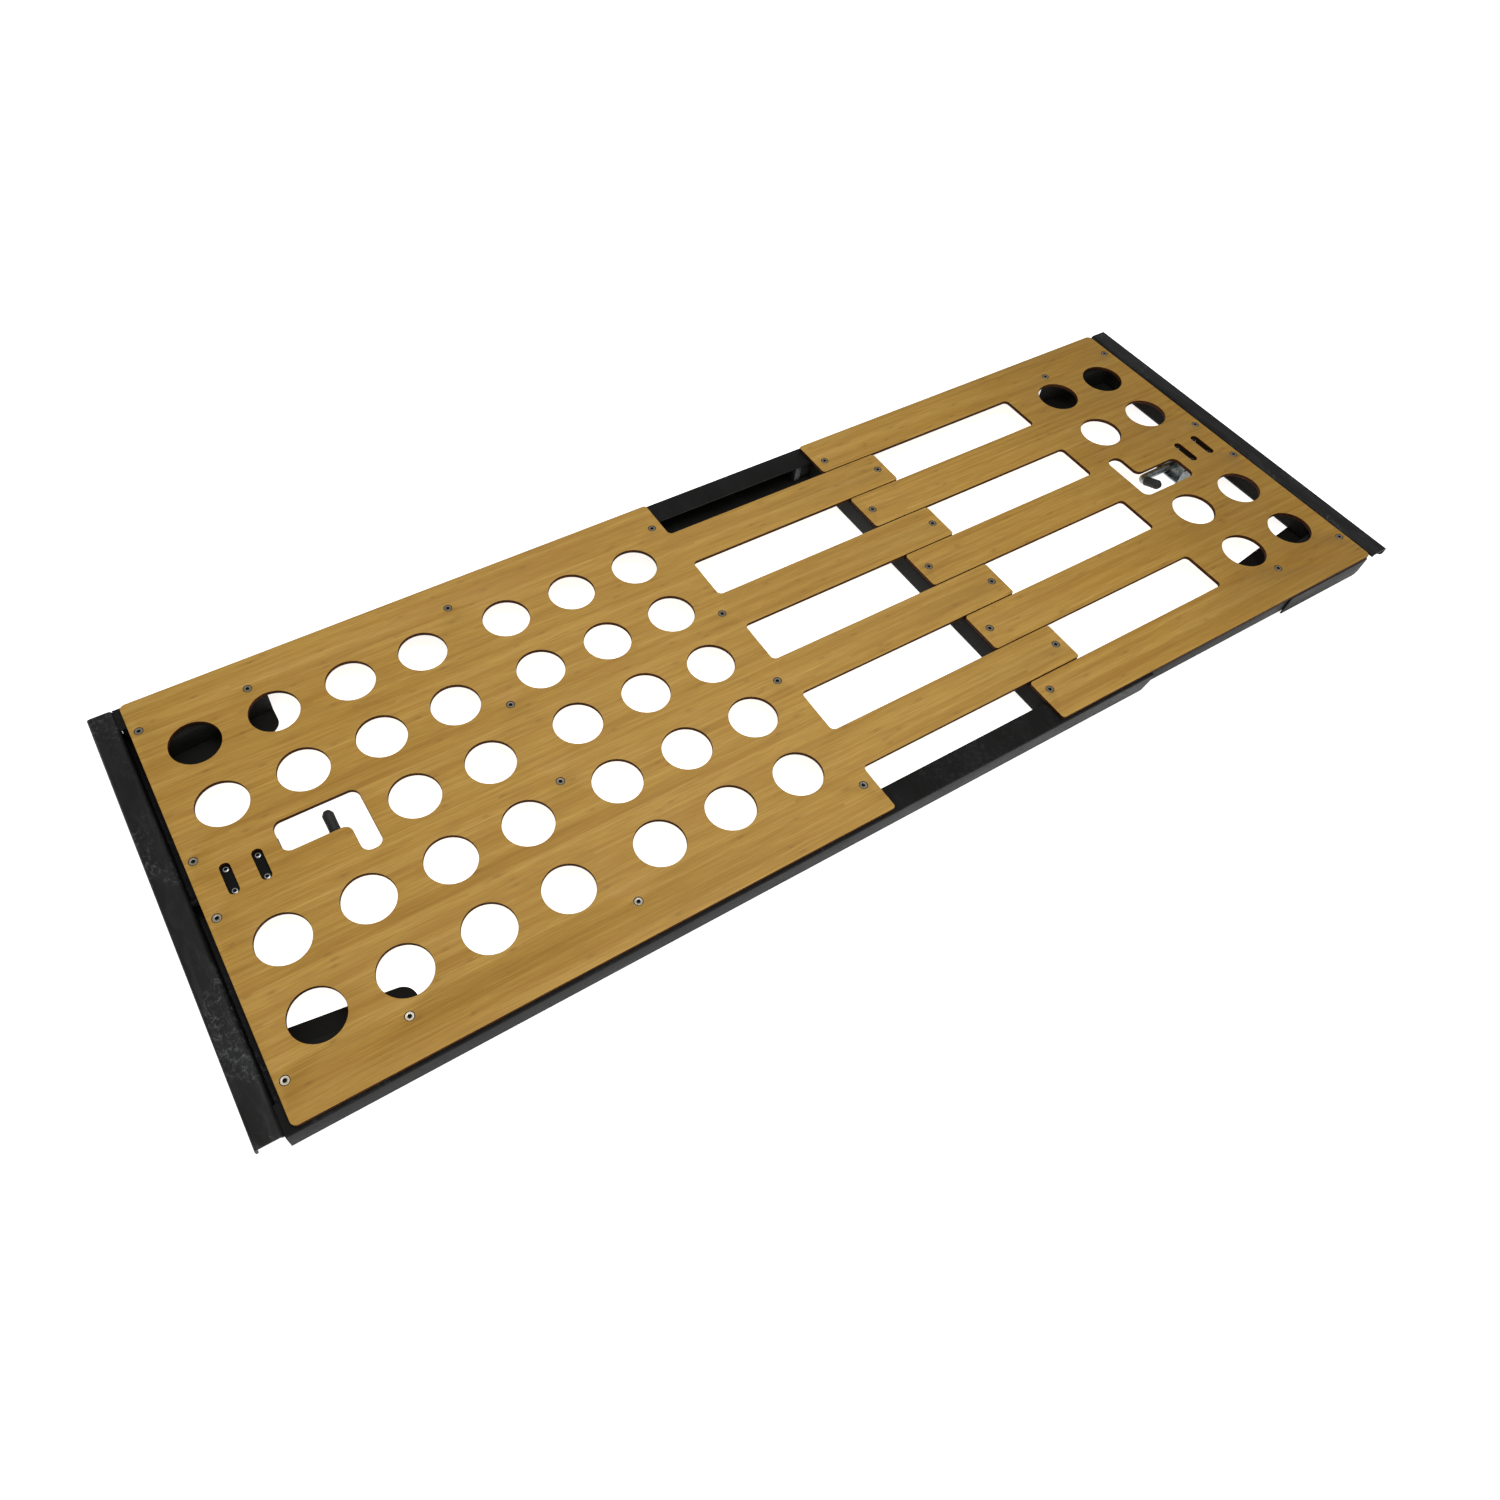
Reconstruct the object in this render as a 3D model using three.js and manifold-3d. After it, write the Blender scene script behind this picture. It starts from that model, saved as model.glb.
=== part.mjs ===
// Extending slatted deck panel.
//
// Two bamboo boards with comb-shaped inner ends lie on two black steel
// frames that telescope along X.  Each end has a hanging flange and a
// spring bolt.  Millimetres, +Z up, origin at the middle of the footprint
// on the underside of the outer rails.  The panel is drawn extended.

import * as THREE from 'three';
import { mergeVertices } from 'three/addons/utils/BufferGeometryUtils.js';
import Module from 'manifold-3d';

const wasm = await Module();
wasm.setup();

// ---------------------------------------------------------------- sizes
const GAP = 0.3;               // clearance between touching pieces

const FRAME_H = 38.1;          // height of rails and crossbars
const BOARD_T = 6.35;          // board thickness
const BOARD_Z0 = FRAME_H + GAP;
const BOARD_Z1 = BOARD_Z0 + BOARD_T;
const BOARD_END = 990.6;       // board end from the centre, both ends
const BOARD_HALF_W = 357.0;
const CORNER_R = 9;            // outer corners of the boards
const TIP_R = 6;               // finger tips
const SLOT_R = 8;              // inner corners between the fingers

const L_ROOT = -79.2;          // where the left board's fingers begin
const L_TIP = 362.7;
const L_FINGER_W = 76.2;
const L_FINGER_Y = [-237.9, -79.3, 79.3, 237.9];
const R_ROOT = 693.4;
const R_TIP = 251.5;
const R_FINGER_W = 79.4;
const R_FINGER_Y = [-158.7, 0, 158.7];
const R_SIDE_IN = 277.7;       // inner edge of the two outer fingers

const HOLE_R = 38.1;
const HOLE_SEG = 16;
const L_HOLE_X = [-913.6, -794.3, -674.1, -554.7, -409.7, -290.3, -170.9];
const R_HOLE_X = [794.3, 913.6];
const HOLE_ROWS = [239.0, 119.5, 0, -119.5, -239.0];

// hand hole beside the bolt, for the left end (the right end is turned)
const HAND = { x0: -867.2, x1: -741.4, legX: -771.9, y0: 1.1, y1: 53.7, legY: -51.4, rOut: 13, rIn: 12 };
// two slots over the bolt's mounting screws, measured from the board end
const SLOT_AT = [46.5, 91.4];
const SLOT_W = 14.5;
const SLOT_L = 52;

// frame
const RAIL_IN = 317.5;         // open side of the outer channels
const RAIL_FOOT_IN = 311.0;    // inner edge of their lower flange
const RAIL_OUT = 361.2;
const RAIL_T = 2.6;
const RAIL_X0 = -1001.5;
const RAIL_X1 = 449.5;
const RAIL_CHAMFER = [12.5, 21];
const TUBE_T = 2.0;
const BAR_W = 38.1;
const MID_BAR_X = -482.3;
const ROOT_BAR_X = -98.3;
const ROOT_BAR_W = 25.4;
const L_TIP_BAR_X = 343.65;
const R_TIP_BAR_X = 272.0;
const INNER = { y0: 321.0, y1: 355.0, z0: 4.2, z1: 34.0, x0: 233.0, x1: 964.9 };
const END_BEAM = [965.2, 990.6];
const WEB = [1001.8, 1004.8];  // upright wall of the end bracket
const FLANGE = { out: 1038.8, z1: 40.3, lip: 19.0, t: 3.0, foot: 970.0, halfY: 358.0, webHalfY: 340.0 };
// corner brace: Y of its web and of its foot's edge, at the end beam and at the free end
const BRACE = { x1: 792.0, web: [262.0, 277.5], foot: [216.3, 239.0], t: 2.6, r: 22, under: 4.8 };
const SIDE_PLATE = { x0: 785.7, x1: 986.0, cut: 9 };

// spring bolt
const BOLT_Z = 22.0;
const BOLT_R = 8.0;
const ROD_R = 7.0;
const HOUSING = { x0: -955, x1: -866, halfY: 34, z0: 4.0, t: 2.6, wall: -880 };
const LATCH_PLATE = { x0: -964.9 + GAP, x1: -872, halfY: 40, z0: 35.5, z1: 38.1 };
const BOLT_TIP = -1024.0;
const COLLAR = [-951.9, -946.0];
const HANDLE_X = -792.6;
const HANDLE_TIP = 45.0;
const HANDLE_TILT = 21.0;      // degrees, tip up
const GRIP_R = 8.7;

// deck screws: countersunk, hex socket
const SCREW_HEAD_R = 6.0;
const SCREW_R = 3.0;
const SCREW_L = 14.0;
const SCREW_SEG = 8;

// ------------------------------------------------------------ materials
const bamboo = new THREE.MeshStandardMaterial({ color: 0xb48f51, roughness: 0.55, metalness: 0.0 });
const blackSteel = new THREE.MeshStandardMaterial({ color: 0x1b1b1c, roughness: 0.6, metalness: 0.35 });
const zinc = new THREE.MeshStandardMaterial({ color: 0x9da2a5, roughness: 0.35, metalness: 0.9 });
const springSteel = new THREE.MeshStandardMaterial({ color: 0x7d8083, roughness: 0.3, metalness: 0.9 });
const screwSteel = new THREE.MeshStandardMaterial({ color: 0xb9bcbe, roughness: 0.28, metalness: 0.95 });
const vinyl = new THREE.MeshStandardMaterial({ color: 0x161616, roughness: 0.5, metalness: 0.0 });
const nylon = new THREE.MeshStandardMaterial({ color: 0x26272a, roughness: 0.45, metalness: 0.0 });

// -------------------------------------------------------- solid helpers
function solid(geometry) {
  const g = geometry.clone();
  g.deleteAttribute('normal');
  g.deleteAttribute('uv');
  const m = mergeVertices(g, 1e-4);
  return new wasm.Manifold(new wasm.Mesh({
    numProp: 3,
    vertProperties: new Float32Array(m.attributes.position.array),
    triVerts: new Uint32Array(m.index.array),
  }));
}

function geometryOf(manifold) {
  const r = manifold.getMesh();
  const g = new THREE.BufferGeometry();
  g.setAttribute('position', new THREE.BufferAttribute(new Float32Array(r.vertProperties), 3));
  g.setIndex(new THREE.BufferAttribute(new Uint32Array(r.triVerts), 1));
  g.computeVertexNormals();
  return g;
}

function block(x0, x1, y0, y1, z0, z1) {
  const g = new THREE.BoxGeometry(x1 - x0, y1 - y0, z1 - z0);
  g.translate((x0 + x1) / 2, (y0 + y1) / 2, (z0 + z1) / 2);
  return solid(g);
}

// outline with rounded corners: each point is [x, y, radius]
function rounded(points, steps = 4) {
  const out = [];
  const n = points.length;
  for (let i = 0; i < n; i++) {
    const [x, y, r = 0] = points[i];
    const a = new THREE.Vector2(points[(i + n - 1) % n][0] - x, points[(i + n - 1) % n][1] - y).normalize();
    const b = new THREE.Vector2(points[(i + 1) % n][0] - x, points[(i + 1) % n][1] - y).normalize();
    if (!r) { out.push(new THREE.Vector2(x, y)); continue; }
    const half = Math.acos(THREE.MathUtils.clamp(a.dot(b), -1, 1)) / 2;
    const back = r / Math.tan(half);
    const mid = a.clone().add(b).normalize().multiplyScalar(r / Math.sin(half));
    const c = new THREE.Vector2(x, y).add(mid);
    const p0 = new THREE.Vector2(x, y).addScaledVector(a, back);
    const p1 = new THREE.Vector2(x, y).addScaledVector(b, back);
    const t0 = Math.atan2(p0.y - c.y, p0.x - c.x);
    let dt = Math.atan2(p1.y - c.y, p1.x - c.x) - t0;
    while (dt > Math.PI) dt -= 2 * Math.PI;
    while (dt < -Math.PI) dt += 2 * Math.PI;
    for (let k = 0; k <= steps; k++) {
      const t = t0 + dt * k / steps;
      out.push(new THREE.Vector2(c.x + r * Math.cos(t), c.y + r * Math.sin(t)));
    }
  }
  return out;
}

// outline in XY, raised from z0 to z1
function slab(outline, z0, z1, holes = []) {
  const s = new THREE.Shape(outline);
  for (const h of holes) s.holes.push(new THREE.Path(h));
  const g = new THREE.ExtrudeGeometry(s, { depth: z1 - z0, bevelEnabled: false });
  g.translate(0, 0, z0);
  return solid(g);
}

// section in YZ, run along X
function runX(section, x0, x1) {
  const g = new THREE.ExtrudeGeometry(new THREE.Shape(section.map(([y, z]) => new THREE.Vector2(y, z))),
    { depth: x1 - x0, bevelEnabled: false });
  // shape (u, v, w) -> (w, u, v)
  g.applyMatrix4(new THREE.Matrix4().set(0, 0, 1, 0, 1, 0, 0, 0, 0, 1, 0, 0, 0, 0, 0, 1));
  g.translate(x0, 0, 0);
  return solid(g);
}

// section in XZ, run along Y
function runY(section, y0, y1) {
  const g = new THREE.ExtrudeGeometry(new THREE.Shape(section.map(([x, z]) => new THREE.Vector2(x, z))),
    { depth: y1 - y0, bevelEnabled: false });
  // shape (u, v, w) -> (u, -w, v)
  g.applyMatrix4(new THREE.Matrix4().set(1, 0, 0, 0, 0, 0, -1, 0, 0, 1, 0, 0, 0, 0, 0, 1));
  g.translate(0, y1, 0);
  return solid(g);
}

function rodX(r, x0, x1, z, seg = 16, y = 0) {
  const g = new THREE.CylinderGeometry(r, r, x1 - x0, seg, 1);
  g.rotateZ(-Math.PI / 2);
  g.translate((x0 + x1) / 2, y, z);
  return solid(g);
}

function rodZ(r, z0, z1, x, y, seg) {
  const g = new THREE.CylinderGeometry(r, r, z1 - z0, seg, 1);
  g.rotateX(Math.PI / 2);
  g.translate(x, y, (z0 + z1) / 2);
  return solid(g);
}

function ring(x, y, r = HOLE_R, seg = HOLE_SEG) {
  const p = [];
  for (let k = 0; k < seg; k++) {
    const t = 2 * Math.PI * (k + 0.5) / seg;
    p.push(new THREE.Vector2(x + r * Math.cos(t), y + r * Math.sin(t)));
  }
  return p;
}

const piece = (group, name, manifold, material) => {
  const m = new THREE.Mesh(geometryOf(manifold), material);
  m.name = name;
  group.add(m);
  return m;
};

// ------------------------------------------------------- deck screws
const LEFT_SCREWS = {
  left_end: [-977.6, [298.3, 48.8, -48.8, -298.3]],
  left_brace: [-814.6, [298.3, -298.3]],
  mid_bar: [MID_BAR_X, [302.5, 79.6, -79.6, -302.5]],
  root_bar: [ROOT_BAR_X, [302.5, 79.6, -79.6, -302.5]],
  left_tip: [345.0, [237.9, 79.3, -79.3, -237.9]],
};
const RIGHT_SCREWS = {
  right_tip: [R_TIP_BAR_X, [303.3, 158.5, 0, -158.5, -303.3]],
  right_brace: [814.6, [298.3, -298.3]],
  right_end: [977.6, [298.3, 48.8, -48.8, -298.3]],
};

// clearance cut for one screw through a board, with its countersink
function screwCut(x, y) {
  const top = BOARD_Z1 + 1;
  const profile = [
    [0, BOARD_Z0 - 1], [SCREW_R + 0.35, BOARD_Z0 - 1], [SCREW_R + 0.35, BOARD_Z1 - 3.9],
    [SCREW_HEAD_R + 1.5, top], [0, top],
  ].map(([r, z]) => new THREE.Vector2(r, z));
  const g = new THREE.LatheGeometry(profile, SCREW_SEG);
  g.rotateX(Math.PI / 2);
  g.translate(x, y, 0);
  return solid(g);
}

function screwBody() {
  const z1 = BOARD_Z1 - 0.15;
  const profile = [
    [0, z1 - SCREW_L], [SCREW_R - 0.1, z1 - SCREW_L], [SCREW_R - 0.1, z1 - 3.5],
    [SCREW_HEAD_R, z1], [2.3, z1], [2.0, z1 - 1.9], [0, z1 - 1.9],
  ].map(([r, z]) => new THREE.Vector2(r, z));
  const g = new THREE.LatheGeometry(profile, SCREW_SEG);
  g.rotateX(Math.PI / 2);
  return solid(g);
}

function cutScrews(body, table, make) {
  for (const [x, ys] of Object.values(table)) for (const y of ys) body = body.subtract(make(x, y));
  return body;
}

// ---------------------------------------------------------- the boards
function handHole(turn) {
  const h = HAND;
  const pts = [
    [h.x0, h.y0, h.rOut], [h.legX, h.y0, h.rIn], [h.legX, h.legY, h.rOut],
    [h.x1, h.legY, h.rOut], [h.x1, h.y1, h.rOut], [h.x0, h.y1, h.rOut],
  ];
  const o = rounded(pts, 4);
  return turn ? o.map((p) => new THREE.Vector2(-p.x, -p.y)) : o;
}

function bumpSlot(atX) {
  const w = SLOT_W / 2, l = SLOT_L / 2;
  return rounded([[atX - w, -l, 6.5], [atX + w, -l, 6.5], [atX + w, l, 6.5], [atX - w, l, 6.5]], 3);
}

function leftDeck() {
  const o = [[-BOARD_END, BOARD_HALF_W, CORNER_R], [-BOARD_END, -BOARD_HALF_W, CORNER_R], [L_ROOT, -BOARD_HALF_W, TIP_R]];
  L_FINGER_Y.forEach((y, i) => {
    o.push([L_ROOT, y - L_FINGER_W / 2, i === 0 ? SLOT_R : SLOT_R], [L_TIP, y - L_FINGER_W / 2, TIP_R],
      [L_TIP, y + L_FINGER_W / 2, TIP_R], [L_ROOT, y + L_FINGER_W / 2, SLOT_R]);
  });
  o.push([L_ROOT, BOARD_HALF_W, TIP_R]);
  const holes = [];
  L_HOLE_X.forEach((x, i) => HOLE_ROWS.forEach((y) => {
    if (y === 0 && i < 2) return;      // the bolt and the hand hole are here
    holes.push(ring(x, y));
  }));
  holes.push(handHole(false));
  for (const d of SLOT_AT) holes.push(bumpSlot(-(BOARD_END - d)));
  return cutScrews(slab(rounded(o, 3), BOARD_Z0, BOARD_Z1, holes), LEFT_SCREWS, screwCut);
}

function rightDeck() {
  const o = [[BOARD_END, -BOARD_HALF_W, CORNER_R], [BOARD_END, BOARD_HALF_W, CORNER_R],
    [R_TIP, BOARD_HALF_W, TIP_R], [R_TIP, R_SIDE_IN, TIP_R], [R_ROOT, R_SIDE_IN, SLOT_R]];
  for (const y of [...R_FINGER_Y].reverse()) {
    o.push([R_ROOT, y + R_FINGER_W / 2, SLOT_R], [R_TIP, y + R_FINGER_W / 2, TIP_R],
      [R_TIP, y - R_FINGER_W / 2, TIP_R], [R_ROOT, y - R_FINGER_W / 2, SLOT_R]);
  }
  o.push([R_ROOT, -R_SIDE_IN, SLOT_R], [R_TIP, -R_SIDE_IN, TIP_R], [R_TIP, -BOARD_HALF_W, TIP_R]);
  const holes = [];
  for (const x of R_HOLE_X) for (const y of HOLE_ROWS) if (y !== 0) holes.push(ring(x, y));
  holes.push(handHole(true));
  for (const d of SLOT_AT) holes.push(bumpSlot(BOARD_END - d));
  return cutScrews(slab(rounded(o, 3), BOARD_Z0, BOARD_Z1, holes), RIGHT_SCREWS, screwCut);
}

// ------------------------------------------------------------ the frame
const screwHole = (x, y) => rodZ(SCREW_R + 0.4, FRAME_H - 4, FRAME_H + 1, x, y, 8);

// square tube across the panel, open at both ends
function crossTube(x0, x1, halfY, z0, z1, screws) {
  const outer = block(x0, x1, -halfY, halfY, z0, z1);
  const bore = block(x0 + TUBE_T, x1 - TUBE_T, -halfY - 1, halfY + 1, z0 + TUBE_T, z1 - TUBE_T);
  let b = outer.subtract(bore);
  for (const [x, ys] of screws) for (const y of ys) b = b.subtract(screwHole(x, y));
  return b;
}

// both ends of a crossbar are notched to stand over the rails' lower flanges
function notched(bar, x0, x1) {
  const a = RAIL_FOOT_IN - GAP, z = RAIL_T + GAP;
  return bar.subtract(block(x0 - 1, x1 + 1, a, RAIL_IN + 1, -1, z)).subtract(block(x0 - 1, x1 + 1, -RAIL_IN - 1, -a, -1, z));
}

function crossbar(x, row, width = BAR_W) {
  const x0 = x - width / 2, x1 = x + width / 2;
  return notched(crossTube(x0, x1, RAIL_IN - GAP, 0, FRAME_H, [row]), x0, x1);
}

function outerRail(side) {
  const i = RAIL_IN * side, o = RAIL_OUT * side, w = (RAIL_OUT - RAIL_T) * side, t = RAIL_T, h = FRAME_H;
  const f = RAIL_FOOT_IN * side;
  let s = [[f, 0], [o, 0], [o, h], [i, h], [i, h - t], [w, h - t], [w, t], [f, t]];
  if (side < 0) s = s.reverse();
  const rail = runX(s, RAIL_X0, RAIL_X1);
  // the lower corner of the open end is cut off at a slant
  const [cx, cz] = RAIL_CHAMFER;
  const cut = runY([[RAIL_X1 - cx, -1], [RAIL_X1 + 1, -1], [RAIL_X1 + 1, cz + 0.7], [RAIL_X1, cz]],
    side < 0 ? -RAIL_OUT - 1 : RAIL_FOOT_IN - 1, side < 0 ? -RAIL_FOOT_IN + 1 : RAIL_OUT + 1);
  return rail.subtract(cut);
}

function innerRail(side) {
  const { y0, y1, z0, z1, x0, x1 } = INNER, t = TUBE_T;
  const a = side > 0 ? y0 : -y1, b = side > 0 ? y1 : -y0;
  return block(x0, x1, a, b, z0, z1).subtract(block(x0 - 1, x1 + 1, a + t, b - t, z0 + t, z1 - t));
}

// slide shoe: a cap on the inner rail's free end, with a stub up its bore
function glideShoe(side) {
  const a = side > 0 ? 318.3 : -358.2, b = side > 0 ? 358.2 : -318.3;
  const pad = block(INNER.x0 - 12, INNER.x0 - GAP, a, b, 2.9, 35.2);
  const ya = side > 0 ? INNER.y0 : -INNER.y1, yb = side > 0 ? INNER.y1 : -INNER.y0;
  const g = TUBE_T + GAP;
  const stub = block(INNER.x0 - 1, INNER.x0 + 18, ya + g, yb - g, INNER.z0 + g, INNER.z1 - g);
  return pad.add(stub);
}

// sliding crossbar: full height between the outer rails, with narrower
// ends that reach through their open sides to the inner rails
function slidingBar() {
  const x0 = R_TIP_BAR_X - BAR_W / 2, x1 = R_TIP_BAR_X + BAR_W / 2, t = TUBE_T;
  const end = INNER.y0 - GAP;
  let b = notched(block(x0, x1, -315.5, 315.5, 0.3, FRAME_H), x0, x1).add(block(x0 + 3, x1 - 3, -end, end, 5.0, 33.2));
  b = b.subtract(block(x0 + 3 + t, x1 - 3 - t, -end - 1, end + 1, 7.0, 31.2));
  for (const y of RIGHT_SCREWS.right_tip[1]) b = b.subtract(rodZ(SCREW_R + 0.4, 20, FRAME_H + 1, R_TIP_BAR_X, y, 8));
  return b;
}

// end pieces are drawn for the left end; the right end is the same, turned
function endBracket() {
  const f = FLANGE, t = f.t;
  const flange = runY([
    [-WEB[1], f.z1 - t], [-WEB[0], f.z1 - t], [-WEB[0], f.z1], [-f.out, f.z1], [-f.out, f.z1 - f.lip],
    [-f.out + t, f.z1 - f.lip], [-f.out + t, f.z1 - t],
  ], -f.halfY, f.halfY);
  const web = block(-WEB[1], -WEB[0], -f.webHalfY, f.webHalfY, 0, f.z1 - t + 0.5);
  const y = RAIL_FOOT_IN - GAP;
  const foot = block(-WEB[0] - 1, -f.foot, -y, y, 0, t);
  return flange.add(web).add(foot).subtract(rodX(BOLT_R + 0.5, -WEB[1] - 2, -WEB[0] + 2, BOLT_Z, 20));
}

function endBeam(halfY) {
  return crossTube(-END_BEAM[1], -END_BEAM[0], halfY, FLANGE.t + GAP, FRAME_H,
    [[LEFT_SCREWS.left_end[0], LEFT_SCREWS.left_end[1]]])
    .subtract(rodX(BOLT_R + 0.5, -END_BEAM[1] - 2, -END_BEAM[0] + 2, BOLT_Z, 20));
}

// corner brace on the positive side of Y at the left end: top flange under
// the board, a web set slightly askew, and a foot with one rounded corner
function brace(side, withSidePlate) {
  const B = BRACE, t = B.t, h = FRAME_H, x0 = -END_BEAM[0] + GAP, x1 = -B.x1;
  const outer = withSidePlate ? 355.4 + t : RAIL_IN - GAP;
  const top = slab(rounded([[x0, B.web[0]], [x1, B.web[1]], [x1, outer], [x0, outer]], 1), h - t, h);
  const web = slab(rounded([[x0, B.web[0]], [x1, B.web[1]], [x1, B.web[1] + t], [x0, B.web[0] + t]], 1), 0, h);
  const xf = x0 - B.under;
  const foot = slab(rounded([[xf, B.foot[0]], [x0, B.foot[0]], [x1, B.foot[1], B.r], [x1, B.web[1] + t], [x0, B.web[0] + t], [xf, B.web[0] + t]], 5), 0, t);
  let b = top.add(web).add(foot);
  if (withSidePlate) {
    const P = SIDE_PLATE;
    const p = [[-P.x1, h], [-P.x1, P.cut], [-P.x1 + P.cut, 0], [-P.x0, 0], [-P.x0, h]];
    b = b.add(runY(p, 355.4, 355.4 + t));
  }
  b = b.subtract(screwHole(-814.6, 298.3));
  return side > 0 ? b : b.mirror([0, 1, 0]);
}

// ------------------------------------------------------- the spring bolt
function latchPlate() {
  const p = LATCH_PLATE;
  return slab(rounded([[p.x0, -p.halfY], [p.x1, -p.halfY, 6], [p.x1, p.halfY, 6], [p.x0, p.halfY]], 2), p.z0, p.z1);
}

function latchHousing() {
  const H = HOUSING, t = H.t, top = LATCH_PLATE.z0 - GAP;
  const u = [[-H.halfY, H.z0], [H.halfY, H.z0], [H.halfY, top], [H.halfY - t, top], [H.halfY - t, H.z0 + t],
    [-H.halfY + t, H.z0 + t], [-H.halfY + t, top], [-H.halfY, top]];
  const y = H.halfY - 1;
  return runX(u, H.x0, H.x1)
    .add(block(H.x0, H.x0 + t, -y, y, H.z0 + 1, top))
    .add(block(H.wall - t, H.wall, -y, y, H.z0 + 1, top))
    .subtract(rodX(BOLT_R + 0.5, H.x0 - 2, H.x0 + t + 2, BOLT_Z, 16))
    .subtract(rodX(ROD_R + 0.5, H.wall - t - 2, H.wall + 2, BOLT_Z, 16));
}

class Helix extends THREE.Curve {
  constructor(x0, x1, r, turns) { super(); Object.assign(this, { x0, x1, r, turns }); }
  getPoint(u, v = new THREE.Vector3()) {
    const a = 2 * Math.PI * this.turns * u;
    return v.set(this.x0 + (this.x1 - this.x0) * u, this.r * Math.cos(a), BOLT_Z + this.r * Math.sin(a));
  }
}

function latchSpring() {
  const wire = new THREE.Shape(new THREE.Path().absarc(0, 0, 1.1, 0, 2 * Math.PI).getPoints(3).slice(0, -1));
  const path = new Helix(COLLAR[1] + 1.8, HOUSING.wall - HOUSING.t - 1.8, 9.5, 7);
  return solid(new THREE.ExtrudeGeometry(wire, { steps: 49, bevelEnabled: false, extrudePath: path }));
}

// the bent end of the handle is turned tip-up about the bolt's axis
function tilted(m) {
  return m.translate([0, 0, -BOLT_Z]).rotate([HANDLE_TILT, 0, 0]).translate([0, 0, BOLT_Z]);
}

// bolt, collar and bent handle rod in one piece
function latchPin() {
  const bolt = rodX(BOLT_R, BOLT_TIP + 1.5, COLLAR[0] + 1, BOLT_Z, 16);
  const noseG = new THREE.CylinderGeometry(BOLT_R, BOLT_R - 1.5, 2, 16, 1);
  noseG.rotateZ(-Math.PI / 2);
  noseG.translate(BOLT_TIP + 1, 0, BOLT_Z);
  const collar = rodX(11.2, COLLAR[0], COLLAR[1], BOLT_Z, 16);
  const r = 10, pts = [];
  for (let k = 0; k <= 6; k++) {
    const t = -Math.PI / 2 + (Math.PI / 2) * k / 6;
    pts.push(new THREE.Vector3(HANDLE_X - r + r * Math.cos(t), r + r * Math.sin(t), BOLT_Z));
  }
  // the straight rod runs on into the bend, which is swept through an arc
  const straight = rodX(ROD_R, COLLAR[1] - 1, HANDLE_X - r + 0.05, BOLT_Z, 12);
  const bendPath = new THREE.CatmullRomCurve3([
    new THREE.Vector3(HANDLE_X - r - 4, 0, BOLT_Z), ...pts, new THREE.Vector3(HANDLE_X, r + 4, BOLT_Z), new THREE.Vector3(HANDLE_X, HANDLE_TIP - 7.4, BOLT_Z)],
    false, 'centripetal');
  const section = new THREE.Shape(new THREE.Path().absarc(0, 0, ROD_R, 0, 2 * Math.PI).getPoints(5).slice(0, -1));
  const bend = solid(new THREE.ExtrudeGeometry(section, { steps: 14, bevelEnabled: false, extrudePath: bendPath }));
  return bolt.add(solid(noseG)).add(collar).add(straight).add(tilted(bend));
}

// soft sleeve over the handle, closed at the tip
function latchGrip() {
  const y0 = 12.0, y1 = HANDLE_TIP, seg = 12;
  const profile = [[0, y0], [GRIP_R - 0.6, y0], [GRIP_R, y0 + 1.5], [GRIP_R, y1 - 6], [GRIP_R - 2.2, y1 - 2], [GRIP_R - 4.6, y1], [0, y1]]
    .map(([r, y]) => new THREE.Vector2(r, y));
  const g = new THREE.LatheGeometry(profile, seg);
  g.translate(HANDLE_X, 0, BOLT_Z);
  const bore = new THREE.CylinderGeometry(ROD_R + 0.6, ROD_R + 0.6, HANDLE_TIP - 6.8 - y0 + 2, seg, 1);
  bore.translate(HANDLE_X, (y0 - 2 + HANDLE_TIP - 6.8) / 2, BOLT_Z);
  return tilted(solid(g).subtract(solid(bore)));
}

// --------------------------------------------------------- the assembly
const panel = new THREE.Group();
const fixedHalf = new THREE.Group();
const slidingHalf = new THREE.Group();
panel.add(fixedHalf, slidingHalf);

function endPieces(group, side, turned) {
  const g = new THREE.Group();
  if (turned) g.rotation.z = Math.PI;
  group.add(g);
  piece(g, `${side}_end_bracket`, endBracket(), blackSteel);
  piece(g, `${side}_end_beam`, endBeam(turned ? 355.0 : RAIL_IN - GAP), blackSteel);
  piece(g, `${side}_${turned ? 'front' : 'back'}_corner_brace`, brace(1, turned), blackSteel);
  piece(g, `${side}_${turned ? 'back' : 'front'}_corner_brace`, brace(-1, turned), blackSteel);
  piece(g, `${side}_latch_plate`, latchPlate(), blackSteel);
  piece(g, `${side}_latch_housing`, latchHousing(), zinc);
  piece(g, `${side}_latch_spring`, latchSpring(), springSteel);
  piece(g, `${side}_latch_pin`, latchPin(), zinc);
  piece(g, `${side}_latch_grip`, latchGrip(), vinyl);
}

function screws(group, table) {
  const body = screwBody();
  for (const [row, [x, ys]] of Object.entries(table)) {
    ys.forEach((y, i) => {
      const m = piece(group, `${row}_screw_${i + 1}`, body, screwSteel);
      m.position.set(x, y, 0);
    });
  }
}

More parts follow.
